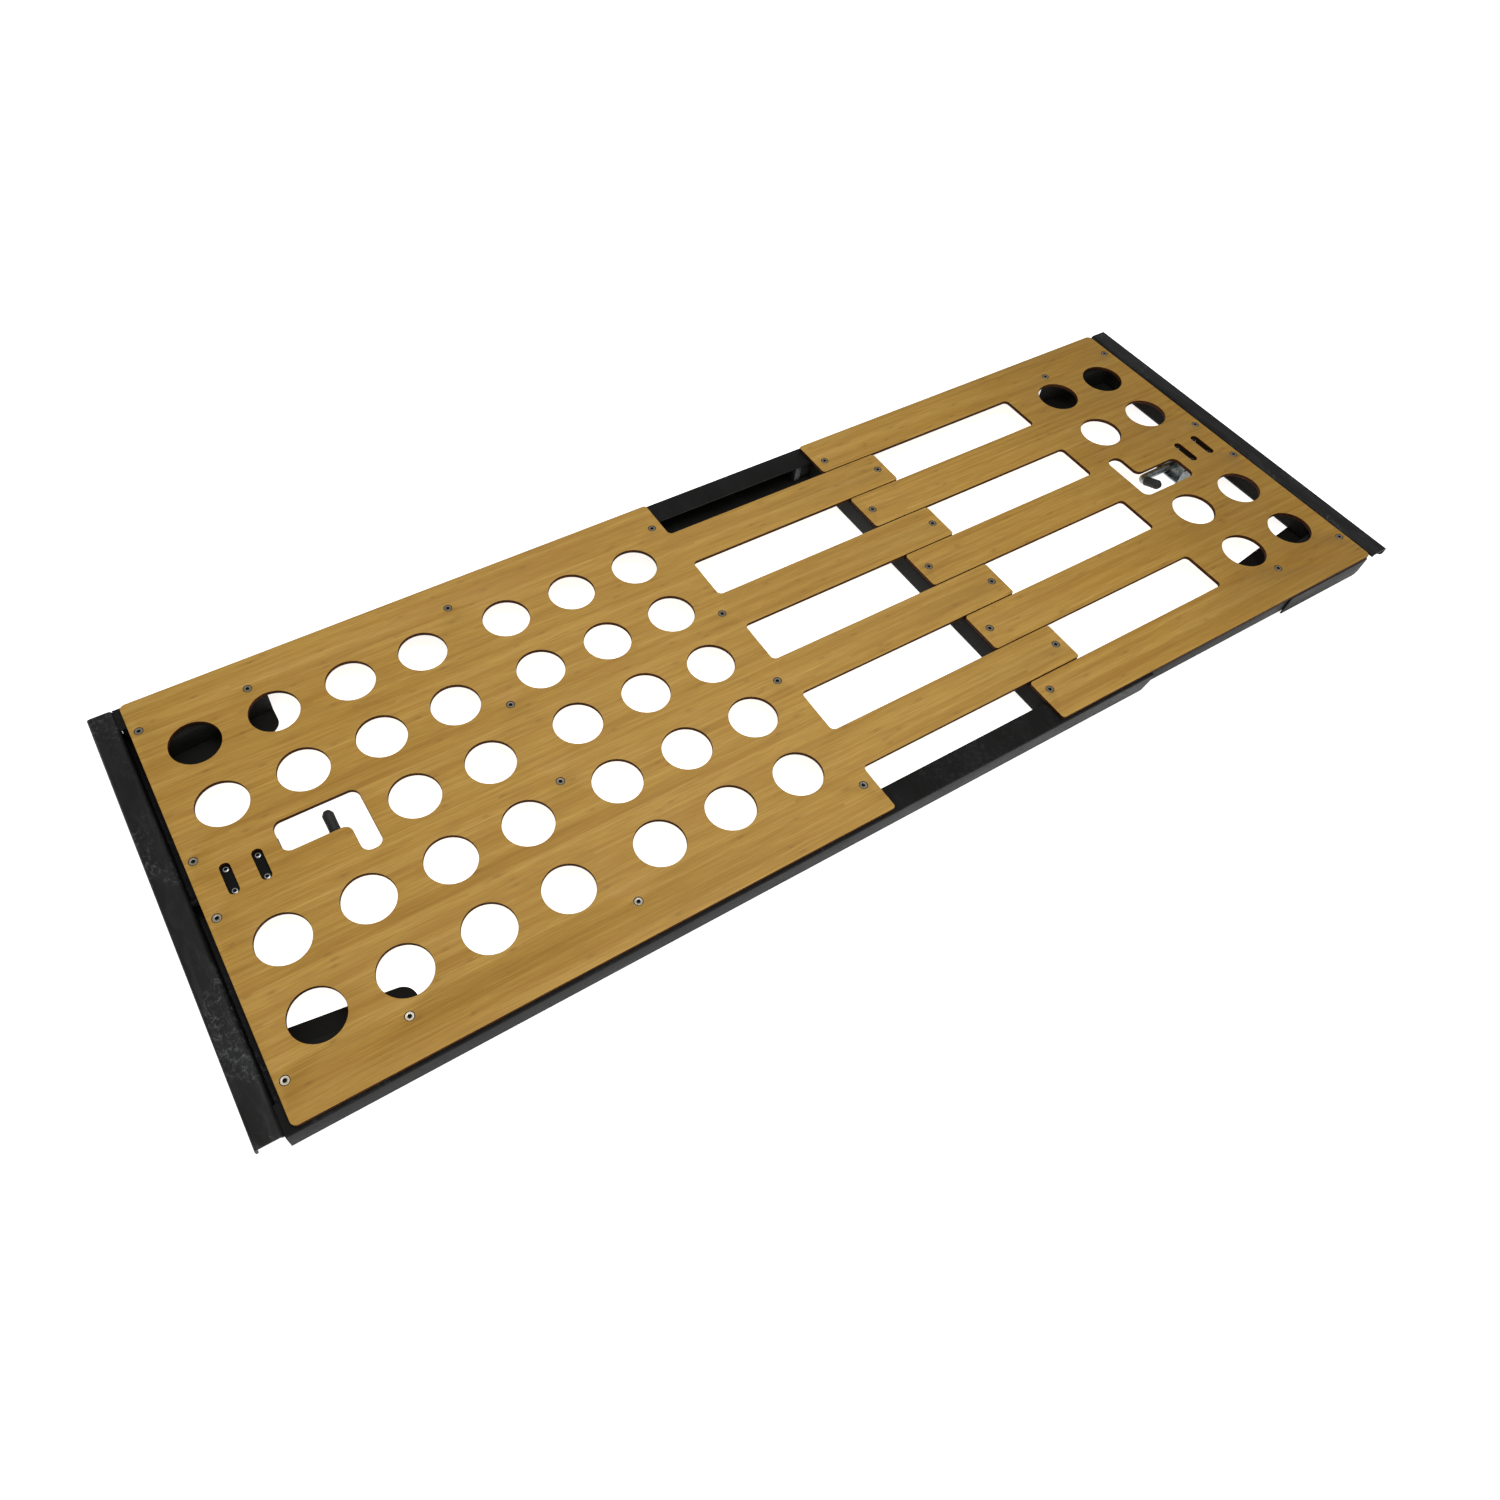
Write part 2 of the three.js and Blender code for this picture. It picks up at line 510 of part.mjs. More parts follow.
piece(fixedHalf, 'left_deck', leftDeck(), bamboo);
piece(fixedHalf, 'back_rail', outerRail(1), blackSteel);
piece(fixedHalf, 'front_rail', outerRail(-1), blackSteel);
piece(fixedHalf, 'mid_crossbar', crossbar(MID_BAR_X, LEFT_SCREWS.mid_bar), blackSteel);
piece(fixedHalf, 'root_crossbar', crossbar(ROOT_BAR_X, LEFT_SCREWS.root_bar, ROOT_BAR_W), blackSteel);
piece(fixedHalf, 'left_tip_crossbar', crossbar(L_TIP_BAR_X, LEFT_SCREWS.left_tip), blackSteel);
endPieces(fixedHalf, 'left', false);
screws(fixedHalf, LEFT_SCREWS);

piece(slidingHalf, 'right_deck', rightDeck(), bamboo);
piece(slidingHalf, 'back_inner_rail', innerRail(1), blackSteel);
piece(slidingHalf, 'front_inner_rail', innerRail(-1), blackSteel);
piece(slidingHalf, 'right_tip_crossbar', slidingBar(), blackSteel);
piece(slidingHalf, 'back_glide_shoe', glideShoe(1), nylon);
piece(slidingHalf, 'front_glide_shoe', glideShoe(-1), nylon);
endPieces(slidingHalf, 'right', true);
screws(slidingHalf, RIGHT_SCREWS);

export default panel;
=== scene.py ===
# Extending slatted deck panel: looks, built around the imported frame.
import bpy, bmesh, math, random
from mathutils import Vector, Matrix
from mathutils.geometry import delaunay_2d_cdt


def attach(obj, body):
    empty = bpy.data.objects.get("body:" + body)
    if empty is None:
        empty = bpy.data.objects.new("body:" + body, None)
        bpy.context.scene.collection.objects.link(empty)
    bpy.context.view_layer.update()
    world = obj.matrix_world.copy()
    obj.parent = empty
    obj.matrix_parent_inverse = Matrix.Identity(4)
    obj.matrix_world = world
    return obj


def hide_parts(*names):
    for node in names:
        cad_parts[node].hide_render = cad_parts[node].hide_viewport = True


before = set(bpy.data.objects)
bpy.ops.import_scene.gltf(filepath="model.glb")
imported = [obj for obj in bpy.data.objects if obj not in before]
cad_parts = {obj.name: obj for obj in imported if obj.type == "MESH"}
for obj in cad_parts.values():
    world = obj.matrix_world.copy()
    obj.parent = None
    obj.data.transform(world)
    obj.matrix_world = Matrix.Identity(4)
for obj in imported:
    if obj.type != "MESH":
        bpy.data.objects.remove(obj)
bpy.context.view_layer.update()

MM = 0.001
S = bpy.context.scene
rng = random.Random(729)

# ------------------------------------------------------------------ sizes (mm)
BZ0, BZ1 = 38.4, 44.75
END, HALF = 990.6, 357.0
L_ROOT, L_TIP, LFW = -79.2, 362.7, 76.2
LFY = [-237.9, -79.3, 79.3, 237.9]
R_ROOT, R_TIP, RFW = 693.4, 251.5, 79.4
RFY = [158.7, 0.0, -158.7]
R_SIDE = 277.7
HOLE_R = 38.1
LHX = [-913.6, -794.3, -674.1, -554.7, -409.7, -290.3, -170.9]
RHX = [794.3, 913.6]
ROWS = [239.0, 119.5, 0.0, -119.5, -239.0]
FH = 38.1
BOLT_Z = 22.0

LEFT_SCREWS = {
    "left_end": (-977.6, [298.3, 48.8, -48.8, -298.3]),
    "left_brace": (-814.6, [298.3, -298.3]),
    "mid_bar": (-482.3, [302.5, 79.6, -79.6, -302.5]),
    "root_bar": (-98.3, [302.5, 79.6, -79.6, -302.5]),
    "left_tip": (345.0, [237.9, 79.3, -79.3, -237.9]),
}
RIGHT_SCREWS = {
    "right_tip": (272.0, [303.3, 158.5, 0.0, -158.5, -303.3]),
    "right_brace": (814.6, [298.3, -298.3]),
    "right_end": (977.6, [298.3, 48.8, -48.8, -298.3]),
}


# ------------------------------------------------------------------ node helpers
class Mat:
    """A small helper for building node materials."""

    def __init__(self, name):
        self.m = bpy.data.materials.new(name)
        self.m.use_nodes = True
        self.t = self.m.node_tree
        self.t.nodes.clear()
        self.out = self.n("ShaderNodeOutputMaterial")
        self.b = self.n("ShaderNodeBsdfPrincipled")
        self.l(self.b.outputs[0], self.out.inputs["Surface"])
        tc = self.n("ShaderNodeTexCoord")
        self.P = tc.outputs["Object"]
        sx = self.n("ShaderNodeSeparateXYZ")
        self.l(self.P, sx.inputs[0])
        self.x, self.y, self.z = sx.outputs

    def n(self, kind, **kw):
        nd = self.t.nodes.new(kind)
        for k, v in kw.items():
            setattr(nd, k, v)
        return nd

    def l(self, a, b):
        self.t.links.new(a, b)

    def put(self, sock, v):
        if isinstance(v, (int, float)):
            sock.default_value = v
        elif isinstance(v, tuple):
            sock.default_value = v
        else:
            self.l(v, sock)

    def math(self, op, a, b=None, c=None, clamp=False):
        nd = self.n("ShaderNodeMath", operation=op, use_clamp=clamp)
        for i, v in enumerate((a, b, c)):
            if v is not None:
                self.put(nd.inputs[i], v)
        return nd.outputs[0]

    def vec(self, x, y, z=0.0):
        nd = self.n("ShaderNodeCombineXYZ")
        for i, v in enumerate((x, y, z)):
            self.put(nd.inputs[i], v)
        return nd.outputs[0]

    def noise(self, vec, scale=1.0, detail=2.0, rough=0.5, dist=0.0):
        nd = self.n("ShaderNodeTexNoise")
        self.put(nd.inputs["Vector"], vec)
        nd.inputs["Scale"].default_value = scale
        nd.inputs["Detail"].default_value = detail
        nd.inputs["Roughness"].default_value = rough
        nd.inputs["Distortion"].default_value = dist
        return nd.outputs["Fac"]

    def white(self, w):
        nd = self.n("ShaderNodeTexWhiteNoise", noise_dimensions="1D")
        self.put(nd.inputs["W"], w)
        return nd.outputs["Value"]

    def ramp(self, fac, stops, interp="LINEAR"):
        nd = self.n("ShaderNodeValToRGB")
        nd.color_ramp.interpolation = interp
        els = nd.color_ramp.elements
        while len(els) > 1:
            els.remove(els[-1])
        els[0].position, els[0].color = stops[0][0], self.rgba(stops[0][1])
        for p, c in stops[1:]:
            e = els.new(p)
            e.color = self.rgba(c)
        self.put(nd.inputs[0], fac)
        return nd.outputs[0]

    def rgba(self, c):
        if isinstance(c, (int, float)):
            return (c, c, c, 1)
        return (c[0], c[1], c[2], 1)

    def mix(self, fac, a, b, blend="MIX"):
        nd = self.n("ShaderNodeMix", data_type="RGBA", blend_type=blend)
        self.put(nd.inputs[0], fac)
        for i, v in ((6, a), (7, b)):
            if isinstance(v, tuple):
                nd.inputs[i].default_value = self.rgba(v)
            else:
                self.put(nd.inputs[i], v)
        return nd.outputs[2]

    def mapr(self, v, a, b, c, d, smooth=False):
        nd = self.n("ShaderNodeMapRange")
        if smooth:
            nd.interpolation_type = "SMOOTHSTEP"
        for i, q in enumerate((v, a, b, c, d)):
            self.put(nd.inputs[i], q)
        return nd.outputs[0]

    def bump(self, height, dist, strength=1.0, chain=None):
        nd = self.n("ShaderNodeBump")
        nd.inputs["Strength"].default_value = strength
        nd.inputs["Distance"].default_value = dist
        self.put(nd.inputs["Height"], height)
        if chain is not None:
            self.l(chain, nd.inputs["Normal"])
        return nd.outputs[0]


def srgb(r, g, b):
    f = lambda v: ((v / 255 + 0.055) / 1.055) ** 2.4 if v > 10 else v / 255 / 12.92
    return (f(r), f(g), f(b))


# ------------------------------------------------------------------ materials
def bamboo_face():
    M = Mat("bamboo_face")
    # laminated strips on edge, each about 5 mm wide, running along X
    wob = M.math("MULTIPLY", M.math("SUBTRACT", M.noise(M.vec(M.math("MULTIPLY", M.x, 1.3), M.math("MULTIPLY", M.y, 3.0)), 1.0, 1.0), 0.5), 0.0012)
    yy = M.math("ADD", M.y, wob)
    sy = M.math("DIVIDE", yy, 0.0049)
    sid = M.math("FLOOR", sy)
    r1 = M.white(M.math("ADD", sid, 0.5))
    r2 = M.white(M.math("ADD", M.math("MULTIPLY", sid, 1.731), 31.7))
    # strips are butt jointed end to end about every 0.9 m
    seg = M.math("FLOOR", M.math("ADD", M.math("DIVIDE", M.x, 0.93), M.math("MULTIPLY", r2, 5.0)))
    r3 = M.white(M.math("ADD", M.math("MULTIPLY", sid, 7.13), M.math("MULTIPLY", seg, 3.17)))
    off = M.math("MULTIPLY", r3, 9.0)
    # long soft streaks
    lo = M.noise(M.vec(M.math("ADD", M.math("MULTIPLY", M.x, 2.1), 4.0), M.math("MULTIPLY", M.y, 46.0)), 1.0, 3.0, 0.55, 0.35)
    mid = M.noise(M.vec(M.math("ADD", M.math("MULTIPLY", M.x, 7.0), off), M.math("MULTIPLY", M.y, 190.0)), 1.0, 3.0, 0.6, 0.25)
    fib = M.noise(M.vec(M.math("ADD", M.math("MULTIPLY", M.x, 16.0), off), M.math("MULTIPLY", M.y, 520.0)), 1.0, 3.0, 0.72)
    cloud = M.noise(M.vec(M.math("MULTIPLY", M.x, 3.0), M.math("MULTIPLY", M.y, 7.0)), 1.0, 2.0, 0.5)
    base = M.ramp(M.mapr(M.math("ADD", M.math("MULTIPLY", lo, 0.62), M.math("MULTIPLY", mid, 0.38)), 0.34, 0.66, 0.0, 1.0),
                  [(0.0, srgb(150, 110, 40)), (0.30, srgb(167, 127, 52)), (0.62, srgb(178, 139, 62)), (1.0, srgb(192, 155, 80))])
    strip = M.ramp(r3, [(0.0, srgb(160, 119, 46)), (0.35, srgb(174, 134, 58)), (0.75, srgb(180, 141, 64)), (1.0, srgb(195, 158, 83))])
    col = M.mix(0.36, base, strip)
    col = M.mix(M.math("MULTIPLY", M.mapr(fib, 0.36, 0.60, 1.0, 0.0), 0.42), col, srgb(130, 88, 26))
    col = M.mix(M.math("MULTIPLY", M.mapr(cloud, 0.40, 0.70, 0.0, 1.0), 0.14), col, srgb(152, 110, 42))
    # the thin glue line between strips
    fy = M.math("FRACT", sy)
    edge = M.math("MINIMUM", fy, M.math("SUBTRACT", 1.0, fy))
    glue = M.mapr(edge, 0.0, 0.09, 0.20, 0.0)
    glue = M.math("MULTIPLY", glue, M.mapr(M.noise(M.vec(M.math("MULTIPLY", M.x, 6.0), M.math("MULTIPLY", sid, 3.3)), 1.0, 2.0), 0.35, 0.65, 0.15, 1.0))
    col = M.mix(glue, col, srgb(102, 64, 22))
    # nodes of the cane: short darker bars across one strip, with a lighter halo along it
    cell = M.math("ADD", M.math("DIVIDE", M.x, M.math("ADD", 0.235, M.math("MULTIPLY", r1, 0.12))), M.math("MULTIPLY", r2, 17.0))
    fx = M.math("SUBTRACT", M.math("FRACT", cell), 0.5)
    jit = M.math("MULTIPLY", M.math("SUBTRACT", M.noise(M.vec(M.math("MULTIPLY", M.x, 90.0), M.math("MULTIPLY", M.y, 700.0)), 1.0, 2.0), 0.5), 0.018)
    dx = M.math("ABSOLUTE", M.math("ADD", fx, jit))
    keep = M.math("GREATER_THAN", M.white(M.math("ADD", M.math("FLOOR", cell), M.math("MULTIPLY", sid, 5.9))), 0.66)
    node = M.math("MULTIPLY", M.mapr(dx, 0.005, 0.026, 1.0, 0.0, True), keep)
    halo = M.math("MULTIPLY", M.mapr(dx, 0.01, 0.085, 1.0, 0.0, True), keep)
    col = M.mix(M.math("MULTIPLY", halo, 0.13), col, srgb(128, 86, 32))
    col = M.mix(M.math("MULTIPLY", node, 0.18), col, srgb(98, 60, 20))
    # painted shade: the far board darkens and deepens in tone towards its end, where less light falls
    col = M.mix(M.mapr(M.x, 0.50, 0.88, 0.0, 0.28, True), col, srgb(110, 75, 4))
    # painted light: a faint pale pool where the key light falls makes the middle a little paler
    light_pool = M.math("MULTIPLY", M.mapr(M.x, -0.75, -0.35, 0.0, 1.0, True), M.mapr(M.x, 0.20, 0.55, 1.0, 0.0, True))
    col = M.mix(M.math("MULTIPLY", light_pool, 0.05), col, srgb(214, 184, 128))
    M.l(col, M.b.inputs["Base Color"])
    rough = M.mapr(M.math("ADD", M.math("MULTIPLY", fib, 0.5), M.math("MULTIPLY", mid, 0.5)), 0.3, 0.7, 0.50, 0.64)
    M.l(rough, M.b.inputs["Roughness"])
    M.b.inputs["Specular IOR Level"].default_value = 0.22
    h = M.math("ADD", M.math("MULTIPLY", fib, 0.6), M.math("MULTIPLY", mid, 0.4))
    h = M.math("SUBTRACT", h, M.math("MULTIPLY", glue, 0.5))
    h = M.math("SUBTRACT", h, M.math("MULTIPLY", node, 0.35))
    M.l(M.bump(h, 0.00012, 0.55), M.b.inputs["Normal"])
    return M.m


def bamboo_edge():
    """Cut walls: three plies, scorched brown by the cutter."""
    M = Mat("bamboo_edge")
    a = M.noise(M.P, 260.0, 3.0, 0.6)
    b = M.noise(M.vec(M.math("MULTIPLY", M.x, 45.0), M.math("MULTIPLY", M.y, 45.0), M.math("MULTIPLY", M.z, 600.0)), 1.0, 3.0, 0.6)
    col = M.ramp(M.mapr(M.math("ADD", M.math("MULTIPLY", a, 0.5), M.math("MULTIPLY", b, 0.5)), 0.33, 0.68, 0.0, 1.0),
                 [(0.0, srgb(30, 13, 4)), (0.45, srgb(52, 25, 8)), (0.8, srgb(70, 36, 12)), (1.0, srgb(92, 53, 20))])
    ply = M.mapr(M.math("ABSOLUTE", M.math("SUBTRACT", M.z, 0.04157)), 0.0008, 0.0012, 1.0, 0.0, True)
    col = M.mix(M.math("MULTIPLY", ply, 0.45), col, srgb(28, 14, 6))
    M.l(col, M.b.inputs["Base Color"])
    M.l(M.mapr(b, 0.3, 0.7, 0.62, 0.85), M.b.inputs["Roughness"])
    M.b.inputs["Specular IOR Level"].default_value = 0.08
    M.l(M.bump(M.math("ADD", a, b), 0.00018, 0.6), M.b.inputs["Normal"])
    return M.m


def powder(name, lift=0.0, scuff=0.0, spec=0.15):
    """Fine-texture black powder coat, with rubbed and dusty patches that are made stronger towards the front as painted
    sheen.
    """
    M = Mat(name)
    peel = M.noise(M.P, 1500.0, 2.0, 0.55)
    orange = M.noise(M.P, 420.0, 2.0, 0.5)
    patch = M.noise(M.vec(M.math("MULTIPLY", M.x, 9.0), M.math("MULTIPLY", M.y, 6.0), M.math("MULTIPLY", M.z, 18.0)), 1.0, 4.0, 0.62, 0.4)
    base = M.ramp(M.mapr(patch, 0.3, 0.72, 0.0, 1.0),
                  [(0.0, srgb(14 + lift, 14 + lift, 13 + lift)), (0.6, srgb(19 + lift, 19 + lift, 18 + lift)), (1.0, srgb(26 + lift, 27 + lift, 26 + lift))])
    col = M.mix(M.math("MULTIPLY", M.mapr(peel, 0.40, 0.62, 0.0, 1.0), 0.25), base, srgb(34 + lift, 35 + lift, 35 + lift))
    rough = M.mapr(patch, 0.3, 0.7, 0.42, 0.56)
    if scuff:
        # chalky rubbing, broad smears, fine scratches and a few chips, all strengthened towards the front as painted
        # sheen where the lamps reflect
        fine = M.noise(M.P, 130.0, 6.0, 0.72, 0.9)
        zone = M.noise(M.vec(M.math("MULTIPLY", M.x, 14.0), M.math("MULTIPLY", M.y, 7.0), M.math("MULTIPLY", M.z, 14.0)), 1.0, 3.0, 0.6, 0.9)
        smear = M.noise(M.vec(M.math("MULTIPLY", M.x, 60.0), M.math("MULTIPLY", M.y, 15.0), M.math("MULTIPLY", M.z, 60.0)), 1.0, 4.0, 0.65, 0.5)
        # painted sheen: this mask brightens the marks towards the front (-y)
        front_sheen = M.mapr(M.y, 0.25, -0.30, 0.45, 1.0)
        mark = M.math("MULTIPLY", M.mapr(fine, 0.50, 0.66, 0.0, 1.0, True), M.mapr(zone, 0.44, 0.62, 0.0, 1.0, True))
        scr = M.noise(M.vec(M.math("MULTIPLY", M.x, 700.0), M.math("MULTIPLY", M.y, 34.0), M.math("MULTIPLY", M.z, 400.0)), 1.0, 2.0, 0.6, 1.6)
        line = M.math("MULTIPLY", M.mapr(scr, 0.635, 0.69, 0.0, 1.0, True), M.mapr(zone, 0.42, 0.56, 0.0, 1.0, True))
        mark = M.math("MAXIMUM", mark, line)
        mark = M.math("MULTIPLY", mark, front_sheen)
        soft = M.math("MULTIPLY", M.mapr(smear, 0.40, 0.70, 0.0, 1.0, True), front_sheen)
        col = M.mix(M.math("MULTIPLY", soft, scuff * 0.55), col, srgb(52, 54, 53))
        col = M.mix(M.math("MULTIPLY", mark, scuff), col, srgb(92, 95, 94))
        rough = M.math("ADD", rough, M.math("MULTIPLY", mark, 0.20))
    M.l(col, M.b.inputs["Base Color"])
    M.l(rough, M.b.inputs["Roughness"])
    M.b.inputs["Specular IOR Level"].default_value = spec
    h = M.math("ADD", M.math("MULTIPLY", peel, 0.45), M.math("MULTIPLY", orange, 0.55))
    M.l(M.bump(h, 0.00016, 0.7), M.b.inputs["Normal"])
    return M.m


def metal(name, dark, light, rough0, rough1, scale=160.0, brushed=None, bump=0.00004, spots=0.0):
    M = Mat(name)
    a = M.noise(M.P, scale, 4.0, 0.6, 0.3)
    if brushed:
        k = brushed
        a2 = M.noise(M.vec(M.math("MULTIPLY", M.x, k[0]), M.math("MULTIPLY", M.y, k[1]), M.math("MULTIPLY", M.z, k[2])), 1.0, 3.0, 0.6)
        a = M.math("ADD", M.math("MULTIPLY", a, 0.5), M.math("MULTIPLY", a2, 0.5))
    col = M.ramp(M.mapr(a, 0.33, 0.67, 0.0, 1.0), [(0.0, dark), (1.0, light)])
    if spots:
        sp = M.noise(M.P, scale * 3.1, 3.0, 0.7)
        col = M.mix(M.math("MULTIPLY", M.mapr(sp, 0.58, 0.70, 0.0, 1.0, True), spots), col, tuple(v * 0.35 for v in dark))
    M.l(col, M.b.inputs["Base Color"])
    M.l(M.mapr(a, 0.3, 0.7, rough0, rough1), M.b.inputs["Roughness"])
    M.b.inputs["Metallic"].default_value = 1.0
    M.l(M.bump(a, bump, 0.6), M.b.inputs["Normal"])
    return M.m


def plastic(name, dark, light, rough0, rough1, scale, bump=0.0001, stipple=0.0):
    M = Mat(name)
    a = M.noise(M.P, scale, 3.0, 0.6, 0.2)
    b = M.noise(M.P, scale * 6.0, 2.0, 0.6)
    col = M.ramp(M.mapr(a, 0.33, 0.68, 0.0, 1.0), [(0.0, dark), (1.0, light)])
    M.l(col, M.b.inputs["Base Color"])
    M.l(M.mapr(a, 0.3, 0.7, rough0, rough1), M.b.inputs["Roughness"])
    M.b.inputs["Specular IOR Level"].default_value = 0.5
    M.l(M.bump(M.math("ADD", a, M.math("MULTIPLY", b, stipple)), bump, 0.6), M.b.inputs["Normal"])
    return M.m


MAT = {
    "face": bamboo_face(),
    "edge": bamboo_edge(),
    "black": powder("powder_black", 1, 0.0, 0.05),
    "rail": powder("powder_black_rail", 2, 0.14, 0.06),
    # end hanger coat: real rubbing plus a painted sheen towards the front
    "worn_sheen": powder("powder_black_worn_sheen", 4, 0.80, 0.12),
    # painted shade: the hex socket recesses get a near-black metal so they read dark
    "socket": metal("socket_painted_shade", srgb(16, 15, 14), srgb(38, 36, 34), 0.45, 0.6, 900.0),
    "dark_bolt": metal("bolt_nose_dark", srgb(22, 22, 23), srgb(44, 44, 45), 0.38, 0.52, 260.0),
    "zinc": metal("zinc_plate", srgb(98, 108, 112), srgb(158, 166, 168), 0.34, 0.52, 120.0, spots=0.3),
    "spring": metal("spring_wire", srgb(92, 96, 100), srgb(150, 154, 158), 0.22, 0.38, 400.0),
    "screw": metal("screw_steel", srgb(112, 106, 94), srgb(172, 166, 152), 0.24, 0.40, 900.0, spots=0.15),
    "plated": metal("screw_plated", srgb(120, 122, 122), srgb(186, 188, 188), 0.24, 0.40, 900.0, spots=0.2),
    "vinyl": plastic("black_vinyl", srgb(4, 4, 4), srgb(11, 11, 11), 0.60, 0.74, 240.0, 0.00022, 0.02),
    "nylon": plastic("dark_nylon", srgb(24, 25, 27), srgb(40, 41, 43), 0.42, 0.58, 300.0, 0.00010, 0.3),
}


# ------------------------------------------------------------------ mesh helpers
def rounded(pts, steps=8):
    out, n = [], len(pts)
    for i, p in enumerate(pts):
        x, y = p[0], p[1]
        r = p[2] if len(p) > 2 else 0
        if not r:
            out.append((x, y))
            continue
        a = Vector((pts[i - 1][0] - x, pts[i - 1][1] - y)).normalized()
        q = pts[(i + 1) % n]
        b = Vector((q[0] - x, q[1] - y)).normalized()
        half = math.acos(max(-1, min(1, a.dot(b)))) / 2
        c = Vector((x, y)) + (a + b).normalized() * (r / math.sin(half))
        p0 = Vector((x, y)) + a * (r / math.tan(half))
        p1 = Vector((x, y)) + b * (r / math.tan(half))
        t0 = math.atan2(p0.y - c.y, p0.x - c.x)
        dt = math.atan2(p1.y - c.y, p1.x - c.x) - t0
        while dt > math.pi: dt -= 2 * math.pi
        while dt < -math.pi: dt += 2 * math.pi
        for k in range(steps + 1):
            t = t0 + dt * k / steps
            out.append((c.x + r * math.cos(t), c.y + r * math.sin(t)))
    return out


def area2(loop):
    return sum(loop[i - 1][0] * loop[i][1] - loop[i][0] * loop[i - 1][1] for i in range(len(loop)))


def circle(x, y, r, n):
    return [(x + r * math.cos(2 * math.pi * k / n), y + r * math.sin(2 * math.pi * k / n)) for k in range(n)]


def make(name, verts, faces, mats, body, smooth_angle=35, face_mat=None, turned=False, scale=MM):
    me = bpy.data.meshes.new(name)
    s = -1.0 if turned else 1.0
    me.from_pydata([(v[0] * scale * s, v[1] * scale * s, v[2] * scale) for v in verts], [], faces)
    me.validate()
    o = bpy.data.objects.new(name, me)
    S.collection.objects.link(o)
    for m in (mats if isinstance(mats, (list, tuple)) else [mats]):
        me.materials.append(MAT[m])
    if face_mat:
        me.polygons.foreach_set("material_index", face_mat)
    o["body"] = body
    if smooth_angle:
        me.polygons.foreach_set("use_smooth", [True] * len(me.polygons))
        me.set_sharp_from_angle(angle=math.radians(smooth_angle))
    return o


def place(axis, u, v, w):
    return {"X": (w, u, v), "Y": (u, w, v), "Z": (u, v, w)}[axis]


def prism_data(outline, a, b, axis):
    """Closed prism: outline is (u, v), run along axis from a to b."""
    loop = outline if area2(outline) > 0 else outline[::-1]
    n = len(loop)
    vs = [place(axis, u, v, a) for u, v in loop] + [place(axis, u, v, b) for u, v in loop]
    flip = axis == "Y"
    fs = [tuple(range(n))[::-1], tuple(range(n, 2 * n))]
    fs += [(i, (i + 1) % n, n + (i + 1) % n, n + i) for i in range(n)]
    if flip:
        fs = [f[::-1] for f in fs]
    return vs, fs


def tube_data(outer, inner, a, b, axis):
    """Prism with one hole; both loops have the same number of points."""
    if area2(outer) < 0: outer = outer[::-1]
    if area2(inner) < 0: inner = inner[::-1]
    n = len(outer)
    vs = [place(axis, u, v, w) for w in (a, b) for lp in (outer, inner) for u, v in lp]
    O0, I0, O1, I1 = 0, n, 2 * n, 3 * n
    fs = []
    for i in range(n):
        j = (i + 1) % n
        fs += [(O0 + i, O0 + j, O1 + j, O1 + i), (I0 + j, I0 + i, I1 + i, I1 + j),
               (O0 + j, O0 + i, I0 + i, I0 + j), (O1 + i, O1 + j, I1 + j, I1 + i)]
    if axis == "Y":
        fs = [f[::-1] for f in fs]
    return vs, fs


def lathe_data(profile, n, axis, centre=(0, 0, 0)):
    """profile is (r, w) from one end on the axis to the other end on the axis."""
    vs, fs, rows = [], [], []
    for r, w in profile:
        if r < 1e-9:
            rows.append([len(vs)])
            vs.append(place(axis, 0, 0, w))
        else:
            rows.append(list(range(len(vs), len(vs) + n)))
            for k in range(n):
                t = 2 * math.pi * k / n
                vs.append(place(axis, r * math.cos(t), r * math.sin(t), w))
    for A, B in zip(rows, rows[1:]):
        for i in range(n):
            j = (i + 1) % n
            if len(A) == 1 and len(B) == 1: continue
            if len(A) == 1: fs.append((A[0], B[j], B[i]))
            elif len(B) == 1: fs.append((A[i], A[j], B[0]))
            else: fs.append((A[i], A[j], B[j], B[i]))
    if axis == "Y":
        fs = [f[::-1] for f in fs]
    vs = [(v[0] + centre[0], v[1] + centre[1], v[2] + centre[2]) for v in vs]
    return vs, fs


def sweep_data(path, radii, n, up=Vector((0, 0, 1))):
    """Round tube through the points of path (3-D), with one radius for each, and closed ends."""
    P = [Vector(p) for p in path]
    vs, fs = [], []
    for i, p in enumerate(P):
        d = (P[min(i + 1, len(P) - 1)] - P[max(i - 1, 0)]).normalized()
        s = d.cross(up).normalized()
        t = s.cross(d).normalized()
        for k in range(n):
            a = 2 * math.pi * k / n
            vs.append(tuple(p + (s * math.cos(a) + t * math.sin(a)) * radii[i]))
    for i in range(len(P) - 1):
        for k in range(n):
            j = (k + 1) % n
            fs.append((i * n + k, i * n + j, (i + 1) * n + j, (i + 1) * n + k))
    fs.append(tuple(range(n))[::-1])
    m = (len(P) - 1) * n
    fs.append(tuple(range(m, m + n)))
    return vs, fs


def join(*parts):
    vs, fs = [], []
    for v, f in parts:
        k = len(vs)
        vs += list(v)
        fs += [tuple(i + k for i in q) for q in f]
    return vs, fs


